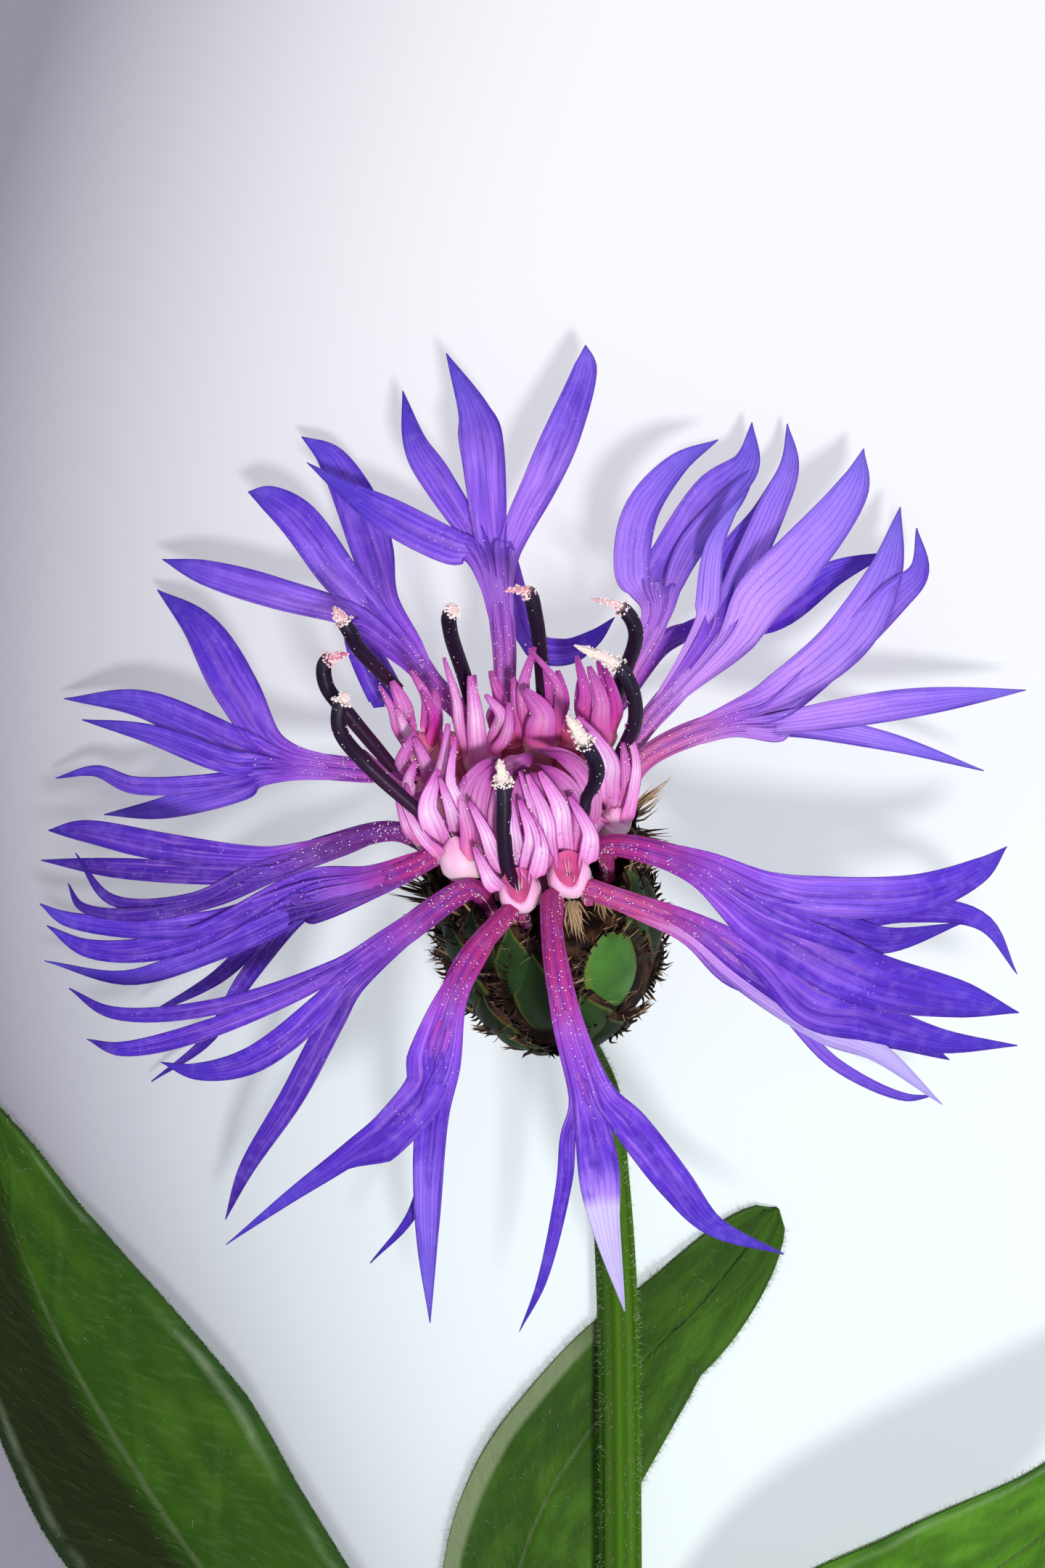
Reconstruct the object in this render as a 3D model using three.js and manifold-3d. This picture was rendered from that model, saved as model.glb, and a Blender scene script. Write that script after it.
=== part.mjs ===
// Mountain cornflower (Centaurea montana), picked and lying on its side, in millimetres, +Z up.
// The origin is the small flat spot on the underside of the flower's cup, which rests on the table.
// The stem runs toward -Y, the flower head leans up and away from it.

import * as THREE from 'three';
import { mergeVertices } from 'three/addons/utils/BufferGeometryUtils.js';
import Module from 'manifold-3d';

const wasm = await Module();
wasm.setup();

// ---- driving dimensions ----

const rimCentre = new THREE.Vector3(-1.5, 6.1, 12.75);     // middle of the cup's mouth
const headAxis = new THREE.Vector3(-0.185, 0.743, 0.643).normalize();
const sideAxis = new THREE.Vector3(0.970, 0.242, 0).normalize();
const backAxis = new THREE.Vector3().crossVectors(headAxis, sideAxis).normalize();
const cupDepth = 16;              // from the mouth down to the stem
const cupRadius = 7.3;            // of the smooth core, below the bracts
const bractFoot = 0.45;           // how deep a bract's inner face lies in the cup
const bladeThickness = 0.7;       // petals and leaves
const clearance = 0.35;           // between touching pieces
const receptacleTop = -0.6;       // height of the floor of the mouth, from the rim
const rayRootRadius = 5.2;        // ring on which the ray florets stand
const rayRootThickness = 0.5;
const antherRadius = 0.48;
const stemTopRadius = 1.0;
const stemFootRadius = 1.7;

// ---- solids ----

function vector(point) {
  return new THREE.Vector3(point[0], point[1], point[2]);
}

function geometryFrom(points, triangles) {
  const geometry = new THREE.BufferGeometry();
  const numbers = points.flatMap((point) => [point.x, point.y, point.z]);
  geometry.setAttribute('position', new THREE.Float32BufferAttribute(numbers, 3));
  geometry.setIndex(triangles);
  return geometry;
}

function solidFrom(geometry) {
  geometry.deleteAttribute('normal');
  geometry.deleteAttribute('uv');
  const merged = mergeVertices(geometry, 1e-5);
  const mesh = new wasm.Mesh({
    numProp: 3,
    vertProperties: new Float32Array(merged.attributes.position.array),
    triVerts: new Uint32Array(merged.index.array),
  });
  return new wasm.Manifold(mesh);
}

function geometryOf(solid) {
  const mesh = solid.getMesh();
  const geometry = new THREE.BufferGeometry();
  geometry.setAttribute('position', new THREE.BufferAttribute(mesh.vertProperties, 3));
  geometry.setIndex(new THREE.BufferAttribute(mesh.triVerts, 1));
  return geometry;
}

function joined(solids) {
  return solids.reduce((whole, piece) => whole.add(piece));
}

// The biggest body of a cut solid, without loose scraps.
function mainBody(solid) {
  return solid.decompose().reduce((best, body) => (body.volume() > best.volume() ? body : best));
}

// A closed skin through rings of equal point counts, capped at both ends.
function loftSolid(rings) {
  const count = rings[0].length;
  const points = rings.flat();
  const triangles = [];
  for (let ring = 0; ring < rings.length - 1; ring += 1) {
    for (let corner = 0; corner < count; corner += 1) {
      const next = (corner + 1) % count;
      const near = ring * count;
      const far = near + count;
      triangles.push(near + corner, near + next, far + next, near + corner, far + next, far + corner);
    }
  }
  const last = (rings.length - 1) * count;
  for (let corner = 1; corner < count - 1; corner += 1) {
    triangles.push(0, corner + 1, corner, last, last + corner, last + corner + 1);
  }
  return solidFrom(geometryFrom(points, triangles));
}

// A round rod along a curve, its radius running through the listed values.
function rodSolid(path, radii, sides, steps) {
  const curve = new THREE.CatmullRomCurve3(path, false, 'centripetal');
  const radiusAt = (along) => {
    const place = along * (radii.length - 1);
    const index = Math.min(Math.floor(place), radii.length - 2);
    return THREE.MathUtils.lerp(radii[index], radii[index + 1], place - index);
  };
  const rings = [];
  let across = new THREE.Vector3(1, 0.1, 0);
  for (let step = 0; step <= steps; step += 1) {
    const along = step / steps;
    const centre = curve.getPoint(along);
    const tangent = curve.getTangent(along);
    across = across.clone().addScaledVector(tangent, -across.dot(tangent)).normalize();
    const up = new THREE.Vector3().crossVectors(tangent, across);
    const ring = [];
    for (let side = 0; side < sides; side += 1) {
      const angle = (side / sides) * Math.PI * 2;
      ring.push(centre.clone()
        .addScaledVector(across, Math.cos(angle) * radiusAt(along))
        .addScaledVector(up, Math.sin(angle) * radiusAt(along)));
    }
    rings.push(ring);
  }
  return loftSolid(rings);
}

// A thin blade from rows of an upper and a lower line of points, split alike on both faces.
function bladeSolid(rows) {
  const width = rows[0].upper.length;
  const points = rows.flatMap((row) => [...row.upper, ...row.lower]);
  const triangles = [];
  const upper = (row, column) => row * width * 2 + column;
  const lower = (row, column) => row * width * 2 + width + column;
  for (let row = 0; row < rows.length - 1; row += 1) {
    for (let column = 0; column < width - 1; column += 1) {
      triangles.push(upper(row, column), upper(row, column + 1), upper(row + 1, column + 1));
      triangles.push(upper(row, column), upper(row + 1, column + 1), upper(row + 1, column));
      triangles.push(lower(row, column), lower(row + 1, column + 1), lower(row, column + 1));
      triangles.push(lower(row, column), lower(row + 1, column), lower(row + 1, column + 1));
    }
    const right = width - 1;
    triangles.push(upper(row, 0), upper(row + 1, 0), lower(row + 1, 0));
    triangles.push(upper(row, 0), lower(row + 1, 0), lower(row, 0));
    triangles.push(upper(row, right), lower(row, right), lower(row + 1, right));
    triangles.push(upper(row, right), lower(row + 1, right), upper(row + 1, right));
  }
  const end = rows.length - 1;
  for (let column = 0; column < width - 1; column += 1) {
    triangles.push(upper(0, column), lower(0, column), lower(0, column + 1));
    triangles.push(upper(0, column), lower(0, column + 1), upper(0, column + 1));
    triangles.push(upper(end, column), lower(end, column + 1), lower(end, column));
    triangles.push(upper(end, column), upper(end, column + 1), lower(end, column + 1));
  }
  return solidFrom(geometryFrom(points, triangles));
}

// A petal lobe or leaf along a curve. halfWidthAt gives the half width, liftAt each column's rise.
function curvedBlade(path, options) {
  const { halfWidthAt, liftAt, columns, steps, roll = 0, endRoll = roll } = options;
  const thickness = options.thickness ?? bladeThickness;
  const facing = options.facing ?? new THREE.Vector3(0, 0, 1);
  const curve = new THREE.CatmullRomCurve3(path, false, 'centripetal');
  const rows = [];
  for (let step = 0; step <= steps; step += 1) {
    const along = step / steps;
    const centre = curve.getPoint(along);
    const tangent = curve.getTangent(along);
    const angle = THREE.MathUtils.degToRad(THREE.MathUtils.lerp(roll, endRoll, along));
    const normal = facing.clone().addScaledVector(tangent, -facing.dot(tangent)).normalize()
      .applyAxisAngle(tangent, angle);
    const across = new THREE.Vector3().crossVectors(tangent, normal);
    const row = { upper: [], lower: [] };
    for (const column of columns) {
      const place = centre.clone()
        .addScaledVector(across, column * halfWidthAt(along, column))
        .addScaledVector(normal, liftAt(along, column));
      row.lower.push(place.clone().addScaledVector(normal, -thickness / 2));
      row.upper.push(place.clone().addScaledVector(normal, thickness / 2));
    }
    rows.push(row);
  }
  return bladeSolid(rows);
}

// ---- the head's own frame ----

// A point round the head's axis: turn 0 is to its right, 90 at its back, height from the rim.
function headPoint(turn, radius, height) {
  const angle = THREE.MathUtils.degToRad(turn);
  return rimCentre.clone()
    .addScaledVector(sideAxis, radius * Math.cos(angle))
    .addScaledVector(backAxis, radius * Math.sin(angle))
    .addScaledVector(headAxis, height);
}

const headTurn = new THREE.Matrix4().makeBasis(sideAxis, backAxis, headAxis).setPosition(rimCentre);

// Everything below the table top, to cut the resting spot.
function belowTable() {
  const size = 200;
  const box = new THREE.BoxGeometry(size, size, size);
  box.translate(0, 0, -size / 2);
  return solidFrom(box);
}

// ---- cup of bracts ----

// Height from the rim and radius of the cup's outline, from the stem to the mouth.
const cupOutline = [
  [-cupDepth, 1.5], [-15.2, 3.4], [-13.4, 5.7], [-11.2, 7.0], [-9.4, cupRadius],
  [-6.5, 7.1], [-3.5, 6.9], [-0.2, 6.6],
];

function cupRadiusAt(height) {
  for (let index = 1; index < cupOutline.length; index += 1) {
    const [low, lowRadius] = cupOutline[index - 1];
    const [high, highRadius] = cupOutline[index];
    if (height <= high) {
      return THREE.MathUtils.mapLinear(height, low, high, lowRadius, highRadius);
    }
  }
  return cupOutline[cupOutline.length - 1][1];
}

function cupCore() {
  const profile = [new THREE.Vector2(0, -cupDepth)];
  for (const [height, radius] of cupOutline) {
    profile.push(new THREE.Vector2(radius, Math.min(height, receptacleTop)));
  }
  profile.push(new THREE.Vector2(0, receptacleTop));
  const core = new THREE.LatheGeometry(profile, 16);
  core.rotateX(Math.PI / 2);
  core.applyMatrix4(headTurn);
  return solidFrom(core);
}

// Rows of bracts: height of the roots, how many, length, half width and turn of the first.
const bractRows = [
  { height: -15.0, count: 5, length: 3.6, halfWidth: 1.9, start: 20 },
  { height: -13.2, count: 6, length: 5.2, halfWidth: 2.5, start: 50 },
  { height: -10.6, count: 7, length: 6.0, halfWidth: 2.8, start: 12 },
  { height: -7.2, count: 8, length: 6.0, halfWidth: 2.6, start: 35 },
  { height: -3.8, count: 9, length: 5.8, halfWidth: 2.3, start: 10 },
];

// One bract: a scale that hugs the cup, its far margin cut into teeth.
function bract(turn, row) {
  const steps = 5;
  const rows = [];
  for (let step = 0; step <= steps; step += 1) {
    const along = step / steps;
    const height = row.height + row.length * along;
    const outline = Math.sin(Math.PI * (0.25 + 0.7 * along)) ** 0.8;
    const tooth = step > 1 && step < steps ? (step % 2 ? 1.2 : 0.85) : 1;
    const half = row.halfWidth * outline * tooth;
    const stand = 0.3 + 0.55 * along ** 2;
    const upper = [];
    const lower = [];
    for (const column of [-1, 0, 1]) {
      const radius = cupRadiusAt(height);
      const aside = turn + THREE.MathUtils.radToDeg((column * half) / radius);
      lower.push(headPoint(aside, radius - bractFoot, height));
      upper.push(headPoint(aside, radius + stand - 0.15 * Math.abs(column), height));
    }
    rows.push({ upper, lower });
  }
  return bladeSolid(rows);
}

function involucre() {
  const pieces = [cupCore()];
  for (const row of bractRows) {
    for (let index = 0; index < row.count; index += 1) {
      pieces.push(bract(row.start + (index * 360) / row.count, row));
    }
  }
  return mainBody(joined(pieces).subtract(belowTable()).subtract(stemRod(clearance)));
}

// ---- ray florets ----

// Each ray: turn of its root round the mouth, the tube's path, its radius at the throat, and lobes
// as [half width, roll in degrees, points...] from the throat to the tip.
const rays = [
  { turn: 97, throat: 1.1, tube: [[-3.5, 15.5, 11.5], [-3.5, 20.5, 12.5], [-4, 25, 10.5], [-4.5, 28, 9]],
    lobes: [
      [1.2, 0, [-4.5, 27.5, 9], [-7, 27.5, 9.5], [-11, 29.5, 9], [-13.5, 31, 8], [-17, 33.5, 6]],
      [1.0, 0, [-4.5, 28, 9], [-8, 32, 8.5], [-9.5, 34.5, 7.5], [-10.5, 38.5, 5]],
      [1.4, 0, [-4.5, 28, 9], [-5, 34, 9.5], [-5.5, 36.5, 8], [-7.5, 41, 5.5]],
      [1.2, 0, [-4, 26.5, 9.5], [-1, 32, 9.5], [0.5, 35.5, 8.5], [2, 40, 6.5], [2, 41.5, 6]],
      [0.9, 0, [-4, 24.5, 10.5], [-1.5, 21, 9], [0.5, 20.5, 8], [2.5, 21.5, 6.5], [4, 23, 5]],
    ] },
  { turn: 123, throat: 1.2, tube: [[-5.5, 15, 11], [-8.5, 18.5, 11], [-10, 20.5, 10.5], [-13, 23.5, 9.5]],
    lobes: [
      [1.3, 0, [-12.5, 23, 9.5], [-14.5, 25.5, 9], [-17.5, 29.5, 8], [-19.5, 31, 7], [-21, 31.5, 6]],
      [1.0, 0, [-12.5, 23, 9.5], [-19, 24.5, 8], [-24, 26, 6.5], [-27, 27, 4.5]],
      [1.5, 0, [-12, 22.5, 9.5], [-12.5, 27.5, 6.5], [-13.5, 30.5, 5], [-15.5, 34, 4], [-17.5, 35.5, 3.5]],
      [1.2, 0, [-9.5, 19.5, 10.5], [-11.5, 17.5, 9], [-13.5, 20.5, 7]],
    ] },
  { turn: 150, throat: 1.2, tube: [[-8, 12, 13], [-13, 12.5, 12.5], [-17.5, 13, 12], [-20, 13.5, 11]],
    lobes: [
      [1.5, 0, [-19.5, 13.5, 11.5], [-21.5, 18, 9.5], [-24, 22, 7], [-27.5, 25, 3]],
      [1.2, 0, [-19.5, 13.5, 11.5], [-21, 14, 11], [-28, 17, 7], [-34, 17.5, 2.5]],
      [0.8, 0, [-19.5, 13.5, 11.5], [-21.5, 13, 11.5], [-27.5, 15, 8.5], [-32.5, 16, 4.5]],
      [0.6, 0, [-19.5, 13.5, 11.5], [-21, 12, 11], [-28.5, 11.5, 7.5], [-31.5, 12.5, 5], [-34.5, 12, 3]],
      [0.9, 0, [-19, 13.5, 11.5], [-21, 11.5, 10.5], [-26.5, 10, 8], [-31, 9.5, 4.5]],
    ] },
  { turn: 178, throat: 0.9, tube: [[-10.5, 8.5, 16], [-15, 7.5, 16.5], [-17.5, 6.5, 16.5], [-21, 6, 16]],
    lobes: [
      [0.9, 0, [-20, 6, 16], [-26, 7.5, 14.5], [-31.5, 8.5, 12], [-34, 8.5, 10.5]],
      [0.7, 0, [-20, 6, 16], [-28, 6, 14], [-34.5, 6.5, 10.5]],
      [0.5, 0, [-20, 6, 16], [-24, 4, 15.5], [-29.5, 4, 13.5], [-32, 7, 12]],
      [0.5, 0, [-20, 6, 16], [-22.5, 4, 15.5], [-27.5, 3, 14.5], [-31.5, 3.5, 13], [-32.5, 5, 12]],
    ] },
  { turn: 203, throat: 1.0, tube: [[-7, 7.2, 17.6], [-10, 6, 17], [-14.5, 4.5, 14.5], [-17.5, 4, 13.5]],
    lobes: [
      [0.8, 0, [-17, 4, 13.5], [-22.5, 2.5, 11.5], [-26.5, 2, 10.5], [-33, 2.5, 8.5], [-35, 3.5, 7.5]],
      [0.8, 0, [-17, 4, 13.5], [-25, 1, 10.5], [-31.5, 0.5, 8.5], [-34.5, 2, 7.5]],
      [0.8, 0, [-17, 4, 13.5], [-17.5, 3, 12.5], [-23, 0.5, 10], [-29, -1.5, 7.5], [-35, -0.5, 5]],
      [0.6, 0, [-17, 4, 13.5], [-18.5, 2.5, 11.5], [-23, -1.5, 7.5], [-28.5, -4.5, 4]],
      [0.6, 0, [-17, 4, 13.5], [-17, 3, 11.5], [-21, -1.5, 7], [-24, -6, 4], [-28, -9, 2]],
    ] },
  { turn: 228, throat: 1.1, tube: [[-5.8, 4.8, 19], [-10, 2, 19], [-14.5, -1.5, 17.5]],
    lobes: [
      [0.5, 0, [-14, -1, 17.5], [-22.5, -3, 15.5], [-29.5, -3.5, 13], [-32.5, -2, 11.5]],
      [0.6, 0, [-14, -1, 17.5], [-23, -4.5, 15], [-29, -6, 12], [-31.5, -5.5, 10]],
      [1.0, 0, [-14, -1, 17.5], [-15.5, -3, 17], [-20, -6.5, 14.5], [-24, -7.5, 12], [-26.5, -7, 10.5]],
      [1.1, 0, [-14, -1, 17.5], [-14.5, -3.5, 16.5], [-17.5, -9, 13], [-21, -14.5, 8.5], [-22.5, -18, 6.5]],
    ] },
  { turn: 253, throat: 1.2, tube: [[-3.5, 3, 20.5], [-6, 0, 23], [-7.5, -4.5, 23], [-8, -6.5, 22]],
    lobes: [
      [1.3, 0, [-7.5, -5.5, 22.5], [-8.5, -7.5, 22], [-11, -10.5, 20.5], [-13.5, -12.5, 19],
        [-17.5, -15.5, 15.5], [-22, -19, 12]],
      [1.0, 0, [-7.5, -6, 22.5], [-8, -9.5, 21], [-8.5, -17, 16.5], [-8.5, -24.5, 10]],
      [0.4, 0, [-8, -6, 22], [-8, -11, 19.5], [-9.5, -16.5, 15], [-12.5, -20.5, 10]],
    ] },
  { turn: 279, throat: 1.3, tube: [[-0.5, 4, 20.5], [0, -1, 24.5], [1.5, -6.5, 24], [2.5, -9.5, 22.5]],
    lobes: [
      [0.5, 0, [1.5, -7.5, 23.5], [0.5, -9.5, 22.5], [0.5, -13.5, 20], [-1, -21, 14.5], [-2.5, -25, 10.5]],
      [1.3, 0, [2, -8.5, 23], [2.5, -12.5, 20.5], [3, -16.5, 17.5], [4.5, -23.5, 11.5]],
      [1.1, 0, [2, -8, 23.5], [4.5, -10, 22.5], [7.5, -14, 20], [10, -17, 17.5], [15, -19.5, 13]],
    ] },
  { turn: 304, throat: 1.1, tube: [[2, 4.9, 18.8], [6.5, 3.2, 19.6], [11, 1, 19], [12.5, -1, 18]],
    lobes: [
      [1.3, 0, [12, 0, 18.5], [16.5, -3, 16], [20.5, -4, 14], [25.5, -5.5, 11.5], [31, -6, 9]],
      [1.0, 0, [12, 0, 18], [18.5, -4, 13.5], [23.5, -5.5, 10.5], [26.5, -7, 8.5]],
      [0.9, 0, [12, -0.5, 18], [17.5, -4.5, 14.5], [21, -6, 12.5], [26, -10, 8.5]],
      [0.4, 0, [12, -0.5, 18], [14, -2.5, 16.5], [18.5, -7, 12], [23.5, -9.5, 8.5], [25.5, -9.5, 7.5]],
    ] },
  { turn: 330, throat: 1.3, tube: [[2.8, 7.6, 18.5], [5, 7.5, 20.5], [9.5, 6, 22], [13.5, 3.5, 22]],
    lobes: [
      [1.3, 0, [12.5, 4, 22], [16.5, 4.5, 21.5], [23, 4.5, 19], [27.5, 6, 16.5], [29.5, 7.5, 15]],
      [0.9, 0, [12.5, 3.5, 22], [17, 3, 20.5], [22.5, 3.5, 17.5], [28, 2.5, 14.5], [30.5, -1, 12.5]],
      [1.1, 0, [12.5, 3.5, 22], [17, 2.5, 20.5], [21, 1.5, 18.5], [26.5, 2.5, 15.5]],
      [1.9, 0, [12.5, 3.5, 22], [16, 1, 20.5], [20, -1, 18.5], [26.5, -2.5, 15.5], [30.5, -3.5, 13.5]],
    ] },
  { turn: 355, throat: 1.1, tube: [[5.5, 13, 14], [10.5, 15.5, 14], [15, 16.5, 12.5]],
    lobes: [
      [1.6, 0, [14.5, 16, 13], [19, 21, 11.5], [22, 25.5, 9], [23.5, 30.5, 5.5]],
      [1.1, 0, [14.5, 16, 13], [18.5, 20, 11], [22.5, 24, 9.5], [24.5, 26, 8], [24.5, 29, 6.5]],
      [1.0, 0, [14.5, 16.5, 13], [23.5, 17, 9.5], [32, 18, 6]],
      [0.8, 0, [14.5, 16, 12.5], [15, 15.5, 12], [22, 14.5, 9.5], [29, 12.5, 7]],
    ] },
  { turn: 20, throat: 1.2, tube: [[5.5, 15, 12.5], [8, 18, 12.5], [11.5, 22.5, 11.5]],
    lobes: [
      [1.8, 0, [11, 22, 11.5], [13.5, 24, 11.5], [16, 26.5, 10], [20, 31.5, 7.5], [21, 34.5, 5.5]],
      [1.0, 0, [11, 22, 11.5], [11.5, 23.5, 11], [14.5, 30, 7], [16, 33.5, 4.5], [16, 36.5, 2.5]],
      [0.8, 0, [11, 22, 12], [10, 23.5, 12], [10.5, 27.5, 12], [12.5, 31, 10.5]],
      [0.9, 0, [11, 22, 11.5], [11.5, 26.5, 9], [14, 30, 5.5], [15.5, 33.5, 3]],
    ] },
  { turn: 46, throat: 1.2, tube: [[4.2, 18, 13], [6.5, 22.5, 12.5], [6.5, 25, 11.5]],
    lobes: [
      [1.2, 0, [6.5, 24.5, 12], [5, 25.5, 12], [5.5, 29.5, 11], [8, 33, 9], [11, 35, 6.5]],
      [1.5, 0, [6.5, 24.5, 11.5], [7, 25.5, 11], [10.5, 31, 7.5], [13, 33.5, 5], [13.5, 36.5, 3.5]],
      [1.3, 0, [6.5, 23.5, 12], [8, 24, 10.5], [10.5, 27, 7.5]],
    ] },
  { turn: 71, throat: 1.0, tube: [[4, 17, 8.5], [7, 21, 8], [10.5, 22.5, 7.5]],
    lobes: [
      [1.1, 0, [10, 22.5, 7.5], [14.5, 23, 7], [19, 26, 5.5], [23, 27.5, 4.5]],
    ] },
];

function rayTube(ray, extra = 0) {
  const path = [
    headPoint(ray.turn, rayRootRadius, receptacleTop + clearance - extra),
    headPoint(ray.turn, rayRootRadius + 0.1, 2.6),
    ...ray.tube.map(vector),
  ];
  const root = rayRootThickness + extra;
  return rodSolid(path, [root, root, root + 0.1, root + 0.25, ray.throat + extra], 5, 6);
}

// Half width of a lobe along its length: narrow root, widest before the middle, pointed tip.
function lobeShape(along) {
  return Math.sin(Math.PI * (0.2 + 0.76 * along)) ** 0.75;
}

function rayLobe(lobe) {
  const [halfWidth, roll, ...points] = lobe;
  return curvedBlade(points.map(vector), {
    columns: [-1, 0, 1],
    steps: points.length > 4 ? 6 : halfWidth > 0.7 ? 5 : 4,
    roll,
    halfWidthAt: (along) => Math.max(halfWidth * lobeShape(along), 0.3),
    liftAt: (along, column) => 0.35 * halfWidth * lobeShape(along) * (Math.abs(column) - 0.5),
  });
}

function rayFloret(ray) {
  return joined([rayTube(ray), ...ray.lobes.map(rayLobe)]);
}

// ---- disc florets ----

// Open florets: turn and radius of the root, and the throat from which five lobes spread.
const discFlorets = [
  { turn: 140, radius: 3.2, throat: [-10, 17, 14.8] },
  { turn: 165, radius: 3.2, throat: [-10, 12.2, 15.6] },
  { turn: 195, radius: 3.0, throat: [-8.2, 9.6, 16.4] },
  { turn: 112, radius: 3.2, throat: [-5.7, 17.2, 14.6] },
  { turn: 85, radius: 3.4, throat: [-1, 17.4, 14.6] },
  { turn: 50, radius: 3.4, throat: [3.4, 16.4, 14.4] },
  { turn: 10, radius: 3.2, throat: [3.4, 12, 15.4] },
  { turn: 335, radius: 3.0, throat: [1.4, 9.6, 16.6] },
  { turn: 260, radius: 3.0, throat: [-3.4, 7.2, 17.8] },
  { turn: 225, radius: 3.2, throat: [-5.6, 8, 17.4] },
];
const discLobes = 5;
const discLobeLength = 4.2;
const discLobeHalfWidth = 0.5;
const budCount = 6;

function discFloret(floret, index) {
  const root = headPoint(floret.turn, floret.radius, receptacleTop + clearance);
  const rise = headPoint(floret.turn, floret.radius, 3);
  const throat = vector(floret.throat);
  const pieces = [rodSolid([root, rise, throat], [0.5, 0.5, 1], 5, 2)];
  const out = throat.clone().sub(rise).normalize();
  const across = new THREE.Vector3().crossVectors(out, new THREE.Vector3(0, 1, 0.2)).normalize();
  for (let lobe = 0; lobe < discLobes; lobe += 1) {
    const angle = ((lobe + 0.37 * index) / discLobes) * Math.PI * 2;
    const spread = across.clone().applyAxisAngle(out, angle);
    const along = (reach, height) => throat.clone()
      .addScaledVector(spread, reach * discLobeLength)
      .addScaledVector(out, height * discLobeLength);
    pieces.push(curvedBlade([along(0.2, -0.08), along(0.38, 0.3), along(0.62, 0.75)], {
      columns: [-1, 1],
      steps: 2,
      facing: spread.clone().negate(),
      halfWidthAt: (place) => discLobeHalfWidth * (0.85 + 0.9 * place - 1.3 * place ** 2),
      liftAt: () => 0,
      thickness: 0.6,
    }));
  }
  return joined(pieces);
}

// An unopened floret in the middle: a slim club.
function discBud(index) {
  const turn = index * 137.5;
  const radius = 1.9 * Math.sqrt((index + 0.5) / budCount);
  const path = [
    headPoint(turn, radius, receptacleTop + clearance),
    headPoint(turn, radius * 1.2, 4),
    headPoint(turn, radius * 1.6, 8.2 - 0.5 * radius),
  ];
  return rodSolid(path, [0.6, 0.65, 1.05, 0.35], 5, 3);
}

// The florets' feet stand packed on a low cushion that ties them into one body.
function discCushion() {
  const base = receptacleTop + clearance;
  const cushion = new THREE.CylinderGeometry(3.6, 4.0, 2.2, 8);
  cushion.rotateX(Math.PI / 2);
  cushion.translate(0, 0, base + 1.1);
  cushion.applyMatrix4(headTurn);
  return solidFrom(cushion);
}

function discBody() {
  const pieces = [discCushion(), ...discFlorets.map(discFloret)];
  for (let index = 0; index < budCount; index += 1) {
    pieces.push(discBud(index));
  }
  let body = joined(pieces);
  for (const path of anthers) {
    body = body.subtract(antherRod(path, clearance));
  }
  for (const ray of rays) {
    body = body.subtract(rayTube(ray, clearance * 1.5));
  }
  return mainBody(body);
}

// ---- anther columns ----

// Paths from the floret's throat up to the pollen-dusted tip.
const anthers = [
  [[-10.4, 17.8, 15.4], [-13, 20.5, 18], [-13.5, 21.5, 19], [-14.5, 23, 19.5]],
  [[-10.7, 12.6, 16.2], [-13.5, 16, 18], [-15, 18, 18.5], [-15, 19.5, 19], [-13.5, 20, 19.5]],
  [[-9, 10, 17], [-12.5, 13, 19], [-14, 15, 20.5], [-14, 16.5, 21], [-13.5, 17.5, 21.2]],
  [[-6, 18.2, 15.4], [-7, 21.5, 18.5], [-7, 22.5, 19.5], [-6.5, 23, 20]],
  [[-1, 18.4, 15.4], [-1.5, 22.5, 18.5], [-2, 24, 19.5], [-3.5, 24, 20]],
  [[3.8, 17.4, 15.2], [5, 21.5, 18.5], [4, 23, 19.5], [2, 23.5, 20]],
  [[3.8, 12.9, 16.2], [5, 16, 18.5], [4, 19, 20], [1, 20.5, 20.5]],
  [[1.6, 10.3, 17.6], [2.5, 12.5, 19.5], [1.5, 14.5, 21], [0.5, 16, 21.5]],
  [[-3.5, 8.1, 18.7], [-3.5, 11.5, 21], [-4, 13, 21.5]],
];

// With extra, the rod grows by that much all round, its foot too.
function antherRod(path, extra = 0) {
  const radius = antherRadius + extra;
  const points = path.map(vector);
  const back = points[0].clone().sub(points[1]).normalize();
  points[0].addScaledVector(back, extra);
  return rodSolid(points, [radius * 0.9, radius, radius, radius * 1.15, radius * 0.8], 5, 4);
}

// ---- stem and leaves ----

const stemPath = [
  headPoint(0, 0, -cupDepth - clearance), [2.2, -7.4, 1.6], [3.2, -10, 1.5], [3.7, -15, 2.1],
  [4.2, -23, 3.0], [4.4, -36, 3.4], [4.4, -51, 3.0], [4.3, -62, 2.2], [4.2, -72, 1.66],
].map((point) => (Array.isArray(point) ? vector(point) : point));

function stemRod(extra = 0) {
  const radii = [stemTopRadius, 1.3, 1.5, stemFootRadius].map((radius) => radius + extra);
  const path = stemPath.map((point) => point.clone());
  path[0].addScaledVector(headAxis, extra);
  return rodSolid(path, radii, 10, 13);
}

function stem() {
  return stemRod().subtract(belowTable());
}

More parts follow.
